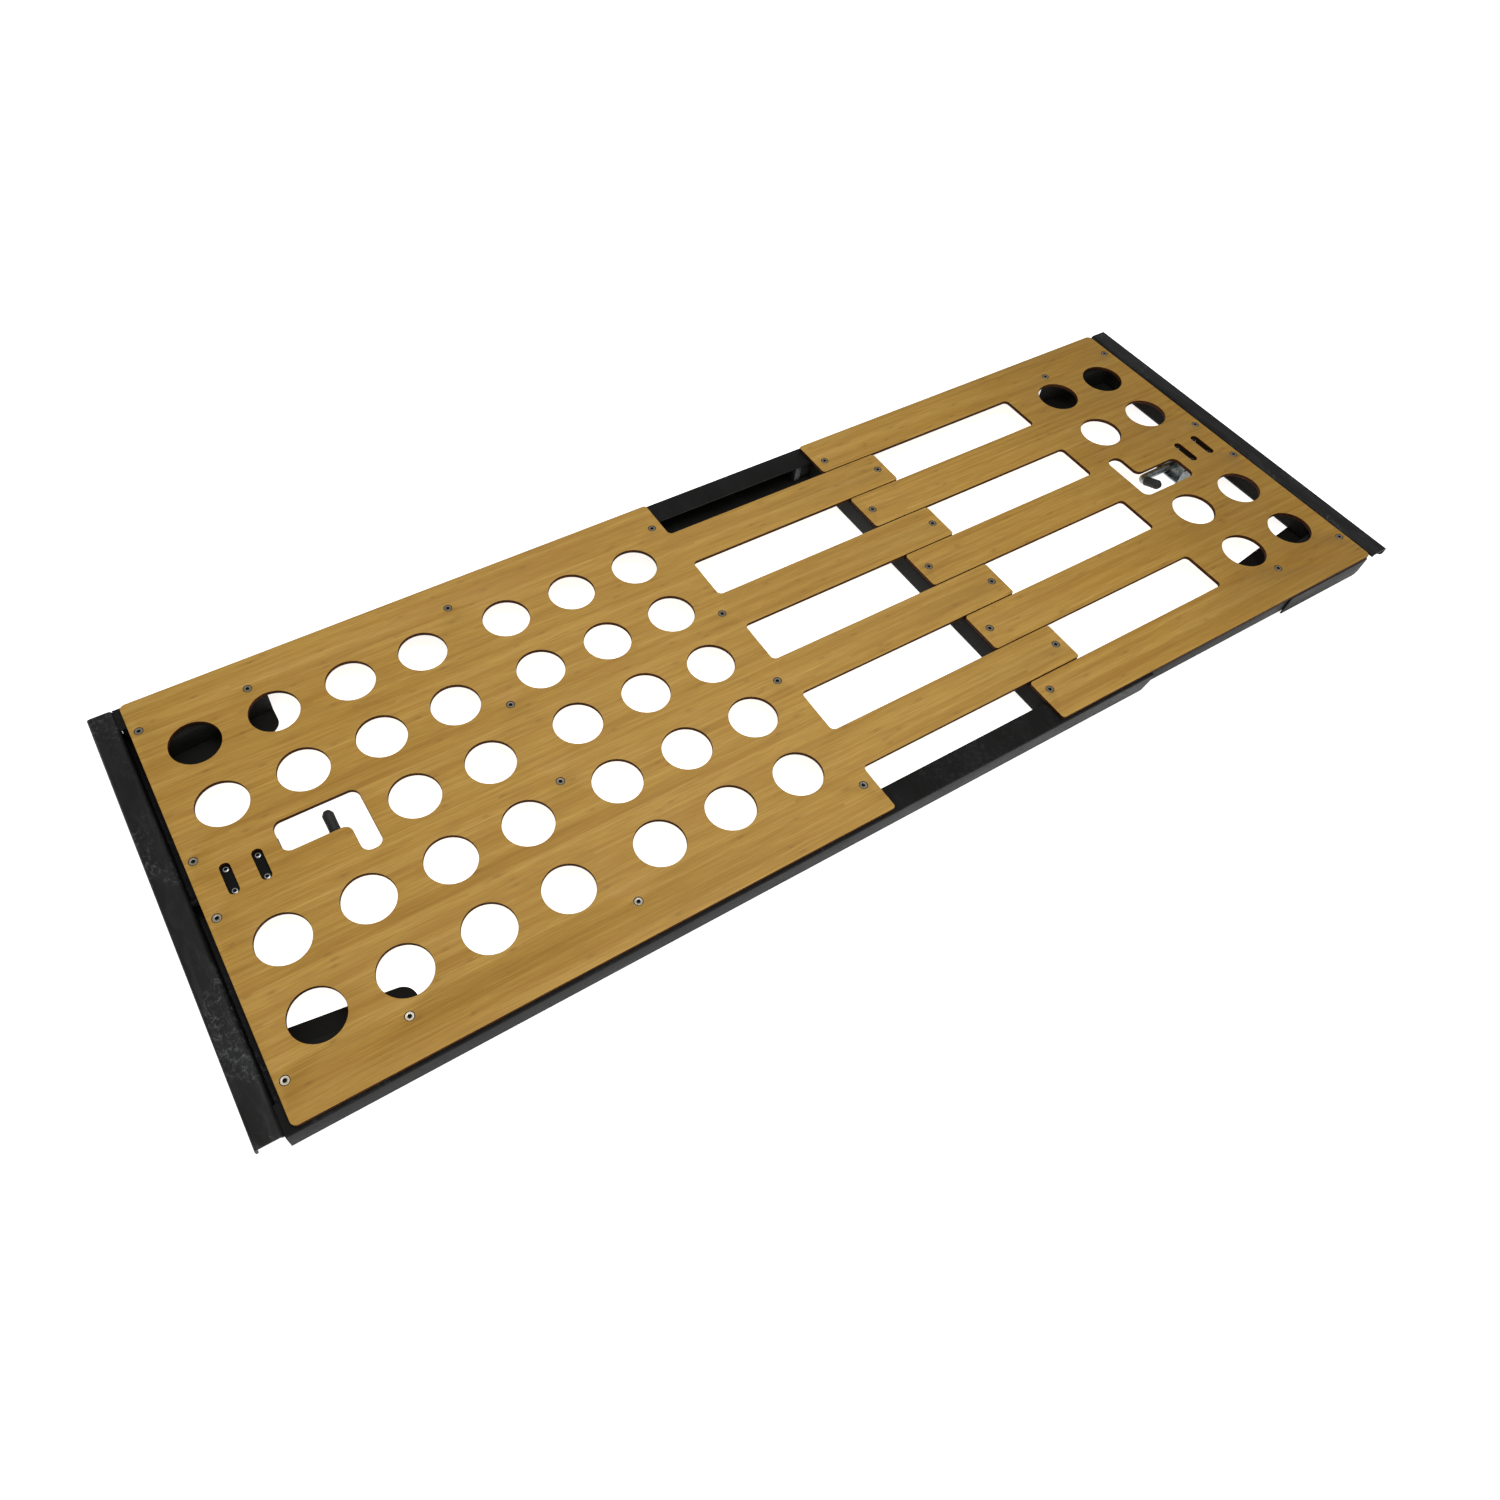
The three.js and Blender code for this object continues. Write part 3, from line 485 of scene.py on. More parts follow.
def tmp(name, data, scale=MM):
    me = bpy.data.meshes.new(name)
    me.from_pydata([(v[0] * scale, v[1] * scale, v[2] * scale) for v in data[0]], [], data[1])
    bm = bmesh.new()
    bm.from_mesh(me)
    bmesh.ops.recalc_face_normals(bm, faces=bm.faces)
    bm.to_mesh(me)
    bm.free()
    o = bpy.data.objects.new(name, me)
    S.collection.objects.link(o)
    return o


def apply_mods(o):
    dg = bpy.context.evaluated_depsgraph_get()
    dg.update()
    me = bpy.data.meshes.new_from_object(o.evaluated_get(dg), depsgraph=dg)
    o.modifiers.clear()
    old = o.data
    o.data = me
    bpy.data.meshes.remove(old)
    return o


def boolean(o, data_list, op="DIFFERENCE"):
    cs = []
    for i, d in enumerate(data_list):
        c = tmp("cutter", d)
        cs.append(c)
        m = o.modifiers.new("b%d" % i, "BOOLEAN")
        m.operation = op
        m.solver = "EXACT"
        m.object = c
    apply_mods(o)
    for c in cs:
        me = c.data
        bpy.data.objects.remove(c)
        bpy.data.meshes.remove(me)
    return o


def solid(name, data, mat, body, cuts=(), adds=(), bevel=0.0, segs=2, angle=32, turned=False, mirror=False, smooth=38):
    """A piece from mesh data, with cuts and joins, eased edges and smooth shading by angle."""
    o = tmp(name, data)
    if adds: boolean(o, adds, "UNION")
    if cuts: boolean(o, cuts)
    if bevel:
        m = o.modifiers.new("bevel", "BEVEL")
        m.width = bevel * MM
        m.segments = segs
        m.limit_method = "ANGLE"
        m.angle_limit = math.radians(angle)
        m.use_clamp_overlap = True
        m.harden_normals = False
        apply_mods(o)
    me = o.data
    if turned:
        me.transform(Matrix.Rotation(math.pi, 4, "Z"))
    if mirror:
        me.transform(Matrix.Scale(-1, 4, (0, 1, 0)))
        me.flip_normals()
    me.materials.clear()
    me.materials.append(MAT[mat])
    me.polygons.foreach_set("material_index", [0] * len(me.polygons))
    me.polygons.foreach_set("use_smooth", [True] * len(me.polygons))
    me.set_sharp_from_angle(angle=math.radians(smooth))
    o.name = name
    o["body"] = body
    return o


def finish_piece(o, body, slot, *nodes):
    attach(o, body)
    if nodes:
        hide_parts(*nodes)
    return o


# ------------------------------------------------------------------ boards
def inset_loop(loop, d):
    """Moves a loop into the material, which lies on its left, by d."""
    n, out = len(loop), []
    for i in range(n):
        a, b, c = Vector(loop[i - 1]), Vector(loop[i]), Vector(loop[(i + 1) % n])
        e0, e1 = (b - a).normalized(), (c - b).normalized()
        n0, n1 = Vector((-e0.y, e0.x)), Vector((-e1.y, e1.x))
        m = (n0 + n1)
        m = m / max(1e-6, m.length_squared) * 2
        out.append((b.x + m.x * d, b.y + m.y * d))
    return out


def inside(pt, loop):
    x, y = pt
    c = False
    for i in range(len(loop)):
        x0, y0 = loop[i - 1]
        x1, y1 = loop[i]
        if (y0 > y) != (y1 > y) and x < (x1 - x0) * (y - y0) / (y1 - y0) + x0:
            c = not c
    return c


def board(name, outline, holes, screws, body, node):
    """Board from loops: eased and scorched edges, and a countersink at each screw."""
    e = 0.8
    soft = [(e, BZ0), (e * 0.3, BZ0 + e * 0.25), (0.0, BZ0 + e), (0.0, BZ1 - e), (e * 0.12, BZ1 - e * 0.5), (e * 0.45, BZ1 - e * 0.14), (e, BZ1)]
    sink = [(-3.5, BZ0), (-3.5, BZ1 - 3.7), (-0.45, BZ1 - 0.6), (0.0, BZ1 - 0.15), (0.15, BZ1)]
    loops = [(outline if area2(outline) > 0 else outline[::-1], soft)]
    for h in holes:
        loops.append((h if area2(h) < 0 else h[::-1], soft))
    for x, y in screws:
        loops.append((circle(x, y, 6.8, 40)[::-1], sink))
    vs, fs, fm = [], [], []
    tops, bottoms = [], []
    for lp, prof in loops:
        n = len(lp)
        rows = []
        for d, z in prof:
            q = inset_loop(lp, d) if abs(d) > 1e-9 else lp
            rows.append(len(vs))
            vs += [(p[0], p[1], z) for p in q]
        for A, B in zip(rows, rows[1:]):
            for i in range(n):
                j = (i + 1) % n
                fs.append((A + i, A + j, B + j, B + i))
                fm.append(1)
        # the last ring of the eased edge is already the board's face
        if prof is soft:
            for i in range(n):
                fm[-n + i] = 0
        bottoms.append((rows[0], n))
        tops.append((rows[-1], n))
    for rings, up in ((bottoms, False), (tops, True)):
        idx, co, edges = [], [], []
        polys = []
        for r0, n in rings:
            k = len(co)
            ring = [vs[r0 + i][:2] for i in range(n)]
            polys.append(ring)
            co += [Vector(p) for p in ring]
            idx += [r0 + i for i in range(n)]
            edges += [(k + i, k + (i + 1) % n) for i in range(n)]
        res = delaunay_2d_cdt(co, edges, [], 0, 1e-6, True)
        rv, rf, orig = res[0], res[2], res[3]
        boxes = [(min(p[0] for p in q), max(p[0] for p in q), min(p[1] for p in q), max(p[1] for p in q)) for q in polys]
        for f in rf:
            c = ((rv[f[0]].x + rv[f[1]].x + rv[f[2]].x) / 3, (rv[f[0]].y + rv[f[1]].y + rv[f[2]].y) / 3)
            if not inside(c, polys[0]): continue
            if any(b[0] < c[0] < b[1] and b[2] < c[1] < b[3] and inside(c, q) for b, q in zip(boxes[1:], polys[1:])): continue
            t = [idx[orig[v][0]] for v in f]
            a = [vs[i] for i in t]
            up_now = (a[1][0] - a[0][0]) * (a[2][1] - a[0][1]) - (a[1][1] - a[0][1]) * (a[2][0] - a[0][0]) > 0
            if up_now != up: t = t[::-1]
            fs.append(tuple(t))
            fm.append(0)
    o = make(name, vs, fs, ["face", "edge"], body, smooth_angle=None, face_mat=fm)
    me = o.data
    me.polygons.foreach_set("use_smooth", [len(p.vertices) == 4 for p in me.polygons])
    me.set_sharp_from_angle(angle=math.radians(50))
    finish_piece(o, body, "bamboo", node)
    return o


HAND = rounded([(-867.2, 1.1, 13), (-771.9, 1.1, 12), (-771.9, -51.4, 13), (-741.4, -51.4, 13), (-741.4, 53.7, 13), (-867.2, 53.7, 13)], 12)
turn = lambda lp: [(-x, -y) for x, y in lp]


def slot_loop(x):
    return rounded([(x - 7.25, -26, 6.9), (x + 7.25, -26, 6.9), (x + 7.25, 26, 6.9), (x - 7.25, 26, 6.9)], 10)


o = [(-END, HALF, 9), (-END, -HALF, 9), (L_ROOT, -HALF, 6)]
for y in LFY:
    o += [(L_ROOT, y - LFW / 2, 8), (L_TIP, y - LFW / 2, 6), (L_TIP, y + LFW / 2, 6), (L_ROOT, y + LFW / 2, 8)]
o += [(L_ROOT, HALF, 6)]
holes = [circle(x, y, HOLE_R, 72) for i, x in enumerate(LHX) for y in ROWS if not (y == 0 and i < 2)]
holes += [HAND, slot_loop(-944.1), slot_loop(-899.2)]
board("left_board", rounded(o, 8), holes, [(x, y) for x, ys in LEFT_SCREWS.values() for y in ys], "fixed_half", "left_deck")

o = [(END, -HALF, 9), (END, HALF, 9), (R_TIP, HALF, 6), (R_TIP, R_SIDE, 6), (R_ROOT, R_SIDE, 8)]
for y in RFY:
    o += [(R_ROOT, y + RFW / 2, 8), (R_TIP, y + RFW / 2, 6), (R_TIP, y - RFW / 2, 6), (R_ROOT, y - RFW / 2, 8)]
o += [(R_ROOT, -R_SIDE, 8), (R_TIP, -R_SIDE, 6), (R_TIP, -HALF, 6)]
holes = [circle(x, y, HOLE_R, 72) for x in RHX for y in ROWS if y != 0]
holes += [turn(HAND), slot_loop(944.1), slot_loop(899.2)]
board("right_board", rounded(o, 8), holes, [(x, y) for x, ys in RIGHT_SCREWS.values() for y in ys], "sliding_half", "right_deck")


# ------------------------------------------------------------------ rails and bars
def hole_z(x, y, r=3.4, z0=30, z1=41):
    return lathe_data([(0, z0), (r, z0), (r, z1), (0, z1)], 24, "Z", (x, y, 0))


def hole_x(r, x0, x1, z=BOLT_Z):
    return lathe_data([(0, x0), (r, x0), (r, x1), (0, x1)], 40, "X", (0, 0, z))


def c_rail(side):
    t = 2.6
    p = rounded([(311, 0), (361.2, 0, 3.8), (361.2, FH, 3.8), (317.5, FH), (317.5, FH - t), (358.6, FH - t, 1.3), (358.6, t, 1.3), (311, t)], 6)
    x0, x1 = -1001.74, 449.5
    cut = prism_data([(x1 - 12.5, -0.02), (x1 - 12.5, -3), (x1 + 3, -3), (x1 + 3, 23), (x1 + 0.02, 21)], 305, 370, "Y")
    name = "back_rail" if side > 0 else "front_rail"
    o = solid(name + "_channel", prism_data(p, x0, x1, "X"), "rail", "fixed_half", cuts=[cut], bevel=0.45, mirror=side < 0)
    return finish_piece(o, "fixed_half", "black_steel", name)


def inner_rail(side):
    outer = rounded([(321, 4.2, 3.2), (355, 4.2, 3.2), (355, 34, 3.2), (321, 34, 3.2)], 5)
    inner = rounded([(323, 6.2, 1.4), (353, 6.2, 1.4), (353, 32, 1.4), (323, 32, 1.4)], 5)
    name = "back_inner_rail" if side > 0 else "front_inner_rail"
    o = solid(name + "_tube", tube_data(outer, inner, 233.0, 964.9, "X"), "black", "sliding_half", bevel=0.3, mirror=side < 0)
    return finish_piece(o, "sliding_half", "black_steel", name)


def glide(side):
    pad = prism_data(rounded([(318.3, 2.9, 3), (358.2, 2.9, 3), (358.2, 35.2, 3), (318.3, 35.2, 3)], 5), 221.0, 232.7, "X")
    stub = prism_data(rounded([(323.3, 6.5, 1.5), (352.7, 6.5, 1.5), (352.7, 31.7, 1.5), (323.3, 31.7, 1.5)], 5), 228.0, 251.0, "X")
    relief = [prism_data([(326, z), (350, z), (350, z + 1.2), (326, z + 1.2)], 219.0, 222.2, "X") for z in (9, 15, 21, 27)]
    name = "back_glide_shoe" if side > 0 else "front_glide_shoe"
    o = solid(name + "_moulded", pad, "nylon", "sliding_half", adds=[stub], cuts=relief, bevel=0.6, mirror=side < 0)
    return finish_piece(o, "sliding_half", "nylon", name)


def square_tube(name, x0, x1, half, z0, screws, node, cuts=(), body="fixed_half"):
    outer = rounded([(x0, z0, 4.0), (x1, z0, 4.0), (x1, FH, 4.0), (x0, FH, 4.0)], 6)
    inner = rounded([(x0 + 2, z0 + 2, 2.0), (x1 - 2, z0 + 2, 2.0), (x1 - 2, FH - 2, 2.0), (x0 + 2, FH - 2, 2.0)], 6)
    hs = [hole_z(x, y) for x, ys in screws for y in ys]
    hs += [prism_data([(x0 - 1, -1), (x1 + 1, -1), (x1 + 1, 2.9), (x0 - 1, 2.9)], a, b, "Y") for a, b in ((310.7, 320), (-320, -310.7))]
    o = solid(name, tube_data(outer, inner, -half, half, "Y"), "black", body, cuts=hs + list(cuts), bevel=0.3)
    return finish_piece(o, body, "black_steel", node)


for sgn in (1, -1):
    c_rail(sgn)
    inner_rail(sgn)
    glide(sgn)
for nm, cx, hw, sc in (("mid_crossbar", -482.3, 19.05, "mid_bar"), ("root_crossbar", -98.3, 12.7, "root_bar"), ("left_tip_crossbar", 343.65, 19.05, "left_tip")):
    square_tube(nm + "_tube", cx - hw, cx + hw, 317.2, 0.0, [LEFT_SCREWS[sc]], nm)

# sliding crossbar with its narrower ends
x0, x1 = 252.95, 291.05
body_ = prism_data(rounded([(x0, 0.3, 4.0), (x1, 0.3, 4.0), (x1, FH, 4.0), (x0, FH, 4.0)], 6), -315.5, 315.5, "Y")
tenon = prism_data(rounded([(x0 + 3, 5.0, 3.0), (x1 - 3, 5.0, 3.0), (x1 - 3, 33.2, 3.0), (x0 + 3, 33.2, 3.0)], 6), -320.7, 320.7, "Y")
bore = prism_data(rounded([(x0 + 5, 7.0, 2.0), (x1 - 5, 7.0, 2.0), (x1 - 5, 31.2, 2.0), (x0 + 5, 31.2, 2.0)], 6), -330, 330, "Y")
step = [prism_data([(x0 - 1, -1), (x1 + 1, -1), (x1 + 1, 2.9), (x0 - 1, 2.9)], a, b, "Y") for a, b in ((310.7, 316), (-316, -310.7))]
o = solid("sliding_crossbar", body_, "black", "sliding_half", adds=[tenon], cuts=[bore] + step + [hole_z(272.0, y, 3.4, 25) for y in RIGHT_SCREWS["right_tip"][1]], bevel=0.3)
finish_piece(o, "sliding_half", "black_steel", "right_tip_crossbar")


# ------------------------------------------------------------------ the two ends
def end_pieces(side, turned):
    body = "sliding_half" if turned else "fixed_half"
    bolt_body = side + "_latch"
    # bent flange, shorter web and foot
    p = [(-1004.8, 30), (-1004.8, 37.3, 3.0), (-1035.8, 37.3, 2.2), (-1035.8, 21.3), (-1038.8, 21.3), (-1038.8, 40.3, 5.0), (-1001.8, 40.3, 6.0), (-1001.8, 30)]
    web = prism_data(rounded([(-970, 0), (-1004.8, 0, 4.0), (-1004.8, 34.3), (-1001.8, 34.3), (-1001.8, 3, 1.2), (-970, 3)], 6), -340, 340, "Y")
    ends = [prism_data([(-1006, 20), (-1000, 20), (-1000, 34.2), (-1006, 34.2)], a, b, "Y") for a, b in ((340, 370), (-370, -340))]
    foot_cut = [prism_data([(-1000.9, -5), (-960, -5), (-960, 3.4), (-1000.9, 3.4)], a, b, "Y") for a, b in ((310.7, 370), (-370, -310.7))]
    # the lip's two lower corners are eased
    nip = [prism_data([(sg * 358.5, 21.2), (sg * 352.0, 21.2), (sg * 354.3, 21.9), (sg * 356.4, 23.4), (sg * 357.6, 25.4), (sg * 358.1, 27.8), (sg * 358.5, 27.8)], -1040, -1034, "X") for sg in (1, -1)]
    o = solid(side + "_hanger", prism_data(rounded(p, 7), -358, 358, "Y"), "worn_sheen", body, adds=[web],
              cuts=[hole_x(8.5, -1010, -995)] + ends + foot_cut + nip, bevel=0.45, turned=turned)
    finish_piece(o, body, "black_steel", side + "_end_bracket")
    # end beam
    half = 355.0 if turned else 317.2
    outer = rounded([(-990.6, 3.3, 3.5), (-965.2, 3.3, 3.5), (-965.2, FH, 3.5), (-990.6, FH, 3.5)], 6)
    inner = rounded([(-988.6, 5.3, 1.6), (-967.2, 5.3, 1.6), (-967.2, FH - 2, 1.6), (-988.6, FH - 2, 1.6)], 6)
    cuts = [hole_x(8.5, -995, -960)] + [hole_z(-977.6, y) for y in (298.3, 48.8, -48.8, -298.3)]
    o = solid(side + "_beam", tube_data(outer, inner, -half, half, "Y"), "black", body, cuts=cuts, bevel=0.3, turned=turned)
    finish_piece(o, body, "black_steel", side + "_end_beam")
    # corner braces: flange under the board, a web slightly askew, and a foot with a rounded corner
    for sgn in (1, -1):
        xe, xf, t = -964.9, -792.0, 2.6
        outer_y = 358.0 if turned else 317.2
        top = prism_data([(xe, 262.0), (xf, 277.5), (xf, outer_y), (xe, outer_y)], FH - t, FH, "Z")
        web = prism_data([(xe, 262.0), (xf, 277.5), (xf, 277.5 + t), (xe, 262.0 + t)], 0.4, FH - 0.4, "Z")
        foot = prism_data(rounded([(-969.7, 216.3), (xe, 216.3), (xf, 239.0, 22), (xf, 277.5 + t), (xe, 262.0 + t), (-969.7, 262.0 + t)], 12), 0, t, "Z")
        nm = ("front" if (turned and sgn > 0) or (not turned and sgn < 0) else "back")
        adds = [web, foot]
        if turned:
            # outer side plate, longer than the brace, with one eased corner
            adds.append(prism_data(rounded([(-986.0, FH), (-986.0, 0, 10), (-785.7, 0, 1.0), (-785.7, FH)], 8), 355.4, 358.0, "Y"))
        o = solid("%s_%s_brace" % (side, nm), top, "black", body, adds=adds, cuts=[hole_z(-814.6, 298.3)], bevel=0.6, segs=3, angle=50, turned=turned, mirror=sgn < 0)
        finish_piece(o, body, "black_steel", "%s_%s_corner_brace" % (side, nm))
    # latch plate
    o = solid(side + "_bolt_plate", prism_data(rounded([(-964.6, -40), (-872, -40, 6), (-872, 40, 6), (-964.6, 40)], 6), 35.5, 38.1, "Z"), "black", body, bevel=0.4, turned=turned)
    finish_piece(o, body, "black_steel", side + "_latch_plate")
    # housing of zinc plated strip: a channel with a front and a rear wall
    hx0, hx1, hy, t, top = -955.0, -866.0, 34.0, 2.6, 35.2
    u = rounded([(-hy, 4, 4.2), (hy, 4, 4.2), (hy, top), (hy - t, top), (hy - t, 4 + t, 1.8), (-hy + t, 4 + t, 1.8), (-hy + t, top), (-hy, top)], 6)
    adds = [prism_data([(-hy + 1, 5), (hy - 1, 5), (hy - 1, top), (-hy + 1, top)], a, a + t, "X") for a in (hx0, -880.0 - t)]
    o = solid(side + "_bolt_housing", prism_data(u, hx0, hx1, "X"), "zinc", body, adds=adds,
              cuts=[hole_x(8.5, hx0 - 3, hx0 + t + 3), hole_x(7.5, -886, -876)], bevel=0.4, turned=turned)
    finish_piece(o, body, "zinc", side + "_latch_housing")
    # coil spring of seven even turns, the wire's ends capped
    pts, n = [], 7 * 28
    xa, xb = -944.2, -884.4
    for i in range(n + 1):
        u_ = i / n
        e = 0.07
        s_ = u_ + (0 if e < u_ < 1 - e else 0)
        a = 2 * math.pi * 7 * u_
        pts.append((xa + (xb - xa) * s_, 9.3 * math.cos(a), BOLT_Z + 9.3 * math.sin(a)))
    v, f = sweep_data(pts, [1.1] * len(pts), 10, Vector((1, 0, 0)))
    o = make(side + "_coil_spring", v, f, "spring", body, 60, turned=turned)
    finish_piece(o, body, "spring_steel", side + "_latch_spring")
    # bolt, collar and bent rod
    tip = -1024.0
    prof = [(0, tip), (5.8, tip), (6.9, tip + 0.5), (8.0, tip + 3.2), (8.0, -951.9), (10.7, -951.9), (11.2, -951.4), (11.2, -946.5), (10.7, -946.0), (7.0, -946.0), (7.0, -945.0), (0, -945.0)]
    bolt = lathe_data(prof, 40, "X", (0, 0, BOLT_Z))
    hx, r = -792.6, 10.0
    ct, st = math.cos(math.radians(21.0)), math.sin(math.radians(21.0))
    path = [(-945.5 + i * (hx - r + 945.5) / 12, 0, BOLT_Z) for i in range(13)]
    path += [(hx - r + r * math.sin(a), r - r * math.cos(a), BOLT_Z) for a in [math.pi / 2 * k / 12 for k in range(1, 13)]]
    path += [(hx, r + (45 - 7.4 - r) * k / 6, BOLT_Z) for k in range(1, 7)]
    # the bent end stands tip-up, turned about the axis of the bolt
    path = [(a, b * ct, c + b * st) for a, b, c in path]
    rod = sweep_data(path, [7.0] * len(path), 28)
    bv, bf = join(bolt, rod)
    # the bolt's nose past the collar takes a near-black metal
    nose = [1 if max(bv[i][0] for i in q) < -951.0 else 0 for q in bf]
    o = make(side + "_bolt_and_rod", bv, bf, ["zinc", "dark_bolt"], bolt_body, 40, face_mat=nose, turned=turned)
    finish_piece(o, bolt_body, "zinc", side + "_latch_pin")
    # dipped grip: a soft rolled mouth, a slightly fuller middle and a domed tip
    gy = [12.0, 12.1, 12.7, 13.7, 15.0, 18, 25, 32, 36, 38.4, 39.2, 41.0, 43.0, 44.4, 44.9, 45.0]
    gr = [7.6, 8.2, 8.6, 8.7, 8.5, 8.4, 8.45, 8.6, 8.65, 8.6, 8.3, 7.1, 5.5, 4.2, 3.0, 0.0]
    prof = [(7.45, 20.0)] + [(7.45, 12.5)] + list(zip(gr, gy))
    v, f = lathe_data(prof, 36, "Y", (hx, 0, BOLT_Z))
    v = [(a, b * ct - (c - BOLT_Z) * st, BOLT_Z + b * st + (c - BOLT_Z) * ct) for a, b, c in v]
    o = make(side + "_vinyl_grip", v, f, "vinyl", bolt_body, 60, turned=turned)
    m = o.modifiers.new("ss", "SUBSURF")
    m.levels = m.render_levels = 1
    apply_mods(o)
    finish_piece(o, bolt_body, "vinyl", side + "_latch_grip")
    # four button-head screws that hold housing and plate, in the two slots
    for i, (x, y) in enumerate([(-944.1, 18.7), (-944.1, -18.7), (-899.2, 18.7), (-899.2, -18.7)]):
        v, f, shade_faces = socket_head(5.0, 38.15, 2.5, 2.2, 1.5, rng.random())
        v = [(a + x, b + y, c) for a, b, c in v]
        o = make("%s_latch_screw_%d" % (side, i + 1), v, f, ["plated", "socket"], body, 32, face_mat=shade_faces, turned=turned)
        finish_piece(o, body, "screw_steel")


def hexagon_ring(r, n, z, phase):
    """n points around a hexagon whose corner radius is r."""
    out = []
    for k in range(n):
        t = 2 * math.pi * k / n
        q = (t % (math.pi / 3)) - math.pi / 6
        rr = r * math.cos(math.pi / 6) / math.cos(q)
        out.append((rr * math.cos(t + phase), rr * math.sin(t + phase), z))
    return out


# bands from the given ring inward take material 1, painted shade for the socket recess
def rings_to_mesh(rings, shade_from=None):
    vs, fs = [], []
    rows, dark = [], []
    for R in rings:
        rows.append(list(range(len(vs), len(vs) + len(R))))
        vs += R
    for k, (A, B) in enumerate(zip(rows, rows[1:])):
        n = max(len(A), len(B))
        for i in range(n):
            j = (i + 1) % n
            if len(A) == 1: fs.append((A[0], B[j], B[i]))
            elif len(B) == 1: fs.append((A[i], A[j], B[0]))
            else: fs.append((A[i], A[j], B[j], B[i]))
            dark.append(1 if k >= shade_from else 0)
    return vs, fs, dark


def ring(r, z, n, phase):
    return [(r * math.cos(2 * math.pi * k / n + phase), r * math.sin(2 * math.pi * k / n + phase), z) for k in range(n)]


def socket_head(r, z0, h, hexr, depth, turn_):
    """Low domed head with a hex socket."""
    n, ph = 36, turn_ * 2
    z1 = z0 + h
    R = [[(0, 0, z0)], ring(r - 0.3, z0, n, ph), ring(r, z0 + 0.3, n, ph), ring(r, z0 + h * 0.4, n, ph), ring(r * 0.93, z0 + h * 0.72, n, ph),
         ring(r * 0.78, z0 + h * 0.92, n, ph), ring(r * 0.6, z1, n, ph), ring(hexr + 0.45, z1, n, ph), hexagon_ring(hexr, n, z1 - 0.35, ph), hexagon_ring(hexr, n, z1 - depth, ph),
         ring(hexr * 0.5, z1 - depth - 0.4, n, ph), [(0, 0, z1 - depth - 0.8)]]
    return rings_to_mesh(R, 7)


def countersunk(turn_):
    """Flat head with a hex socket, cone and threaded shank; its top is just under the board's face."""
    n, ph = 36, turn_ * 2
    z1 = BZ1 - 0.12
    zb = BZ1 - 0.15 - 14.0
    R = [[(0, 0, zb)], ring(2.2, zb, n, ph)]
    z, k = zb + 0.5, 0
    while z < z1 - 4.6:
        R.append(ring(2.9 if k % 2 else 2.45, z, n, ph))
        z += 0.5
        k += 1
    R += [ring(2.7, z1 - 3.6, n, ph), ring(5.75, z1 - 0.55, n, ph), ring(6.0, z1 - 0.3, n, ph), ring(5.85, z1 - 0.02, n, ph), ring(5.5, z1, n, ph),
          ring(2.9, z1, n, ph), ring(2.6, z1 - 0.08, n, ph), hexagon_ring(2.25, n, z1 - 0.45, ph), hexagon_ring(2.25, n, z1 - 2.1, ph), ring(1.2, z1 - 2.5, n, ph), [(0, 0, z1 - 2.9)]]
    return rings_to_mesh(R, len(R) - 6)


end_pieces("left", False)
end_pieces("right", True)

for table, body in ((LEFT_SCREWS, "fixed_half"), (RIGHT_SCREWS, "sliding_half")):
    for row, (x, ys) in table.items():
        for i, y in enumerate(ys):
            v, f, shade_faces = countersunk(rng.random())
            v = [(a + x, b + y, c) for a, b, c in v]
            o = make("%s_hex_screw_%d" % (row, i + 1), v, f, ["screw", "socket"], body, 32, face_mat=shade_faces)
            finish_piece(o, body, "screw_steel", "%s_screw_%d" % (row, i + 1))

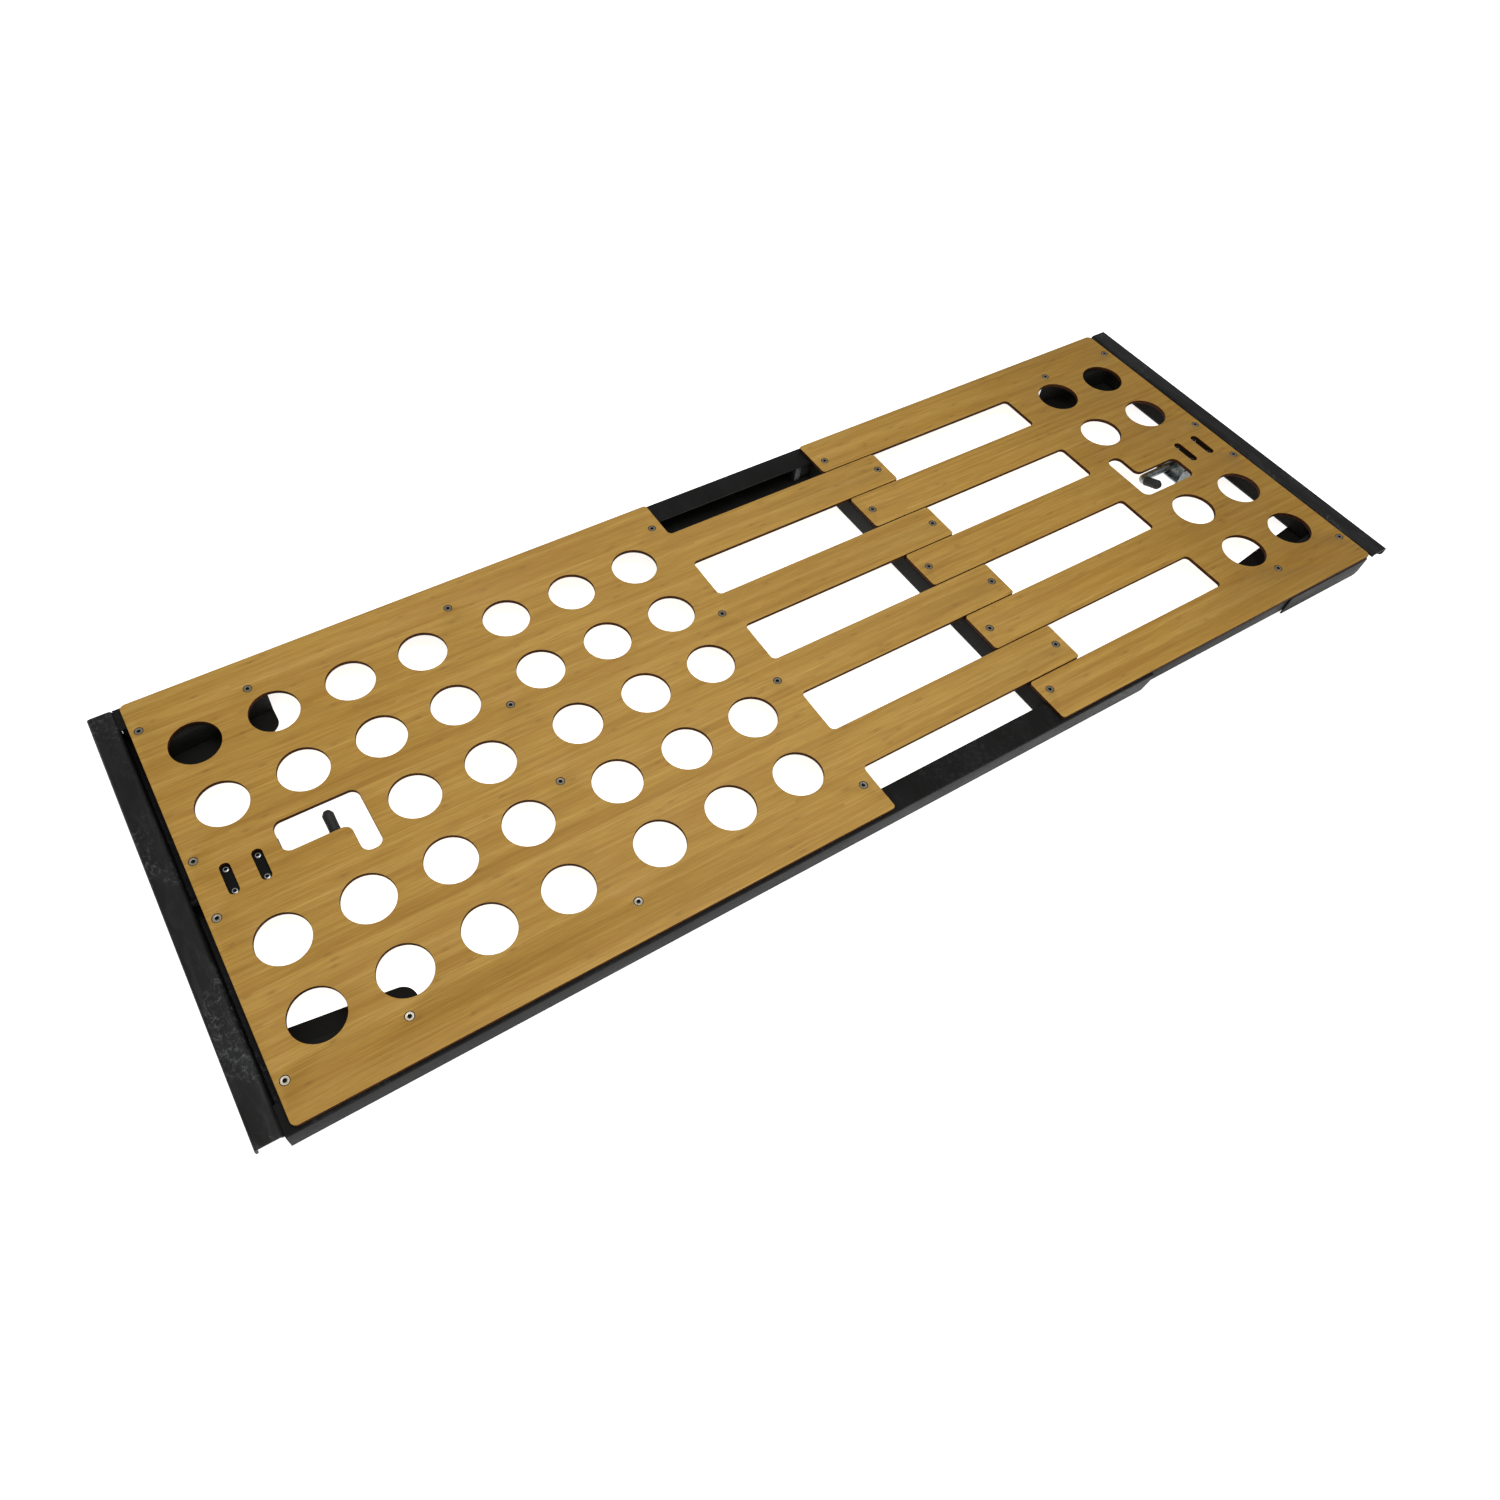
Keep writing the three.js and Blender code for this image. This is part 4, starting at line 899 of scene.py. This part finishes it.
# ------------------------------------------------------------------ floor, light, camera
def floor():
    M = Mat("pale_floor")
    a = M.noise(M.P, 3.0, 3.0, 0.5)
    M.l(M.ramp(a, [(0.3, (0.90, 0.90, 0.90)), (0.7, (0.93, 0.93, 0.93))]), M.b.inputs["Base Color"])
    M.b.inputs["Roughness"].default_value = 0.9
    M.b.inputs["Specular IOR Level"].default_value = 0.1
    M.b.inputs["Emission Color"].default_value = (1, 1, 1, 1)
    M.b.inputs["Emission Strength"].default_value = 0.85
    me = bpy.data.meshes.new("floor")
    me.from_pydata([(-9, -9, -0.0006), (9, -9, -0.0006), (9, 9, -0.0006), (-9, 9, -0.0006)], [], [(0, 1, 2, 3)])
    me.materials.append(M.m)
    o = bpy.data.objects.new("floor", me)
    S.collection.objects.link(o)


floor()

world = bpy.data.worlds.new("studio")
S.world = world
world.use_nodes = True
bg = world.node_tree.nodes["Background"]
bg.inputs[0].default_value = (1.0, 1.0, 1.0, 1)
bg.inputs[1].default_value = 0.50


def area(name, loc, target, size, power, size_y=None):
    L = bpy.data.lights.new(name, "AREA")
    L.shape = "RECTANGLE"
    L.size = size
    L.size_y = size_y or size
    L.energy = power
    o = bpy.data.objects.new(name, L)
    S.collection.objects.link(o)
    o.location = loc
    d = Vector(target) - Vector(loc)
    o.rotation_euler = d.to_track_quat("-Z", "Y").to_euler()
    return o


area("key", (-0.12, -0.2, 2.5), (-0.12, -0.05, 0.0), 1.3, 27, 1.3)
area("softbox", (-0.95, 0.62, 2.7), (-0.93, -0.28, 0.0), 0.95, 9, 0.8)
area("front", (-0.2, -3.0, 0.8), (0.0, -0.3, 0.0), 2.6, 22, 1.0)

cam = bpy.data.cameras.new("camera")
co = bpy.data.objects.new("camera", cam)
S.collection.objects.link(co)
right = Vector((0.85565523, -0.51536006, 0.04751985))
down = Vector((-0.40207834, -0.71975629, -0.5659363))
fwd = Vector((0.32586367, 0.46513965, -0.82307835))
Mx = Matrix.Identity(4)
for i in range(3):
    Mx[i][0], Mx[i][1], Mx[i][2] = right[i], -down[i], -fwd[i]
Mx.translation = Vector((-0.8693, -0.8675, 1.3846))
co.matrix_world = Mx
cam.sensor_fit = "HORIZONTAL"
cam.sensor_width = 36.0
cam.lens = 1100.2 / 1500 * 36
cam.shift_x = (750 - 656.0) / 1500
cam.shift_y = (756.6 - 750) / 1500
cam.clip_start, cam.clip_end = 0.02, 60
cam.dof.use_dof = False
S.camera = co
S.view_settings.view_transform = "Standard"

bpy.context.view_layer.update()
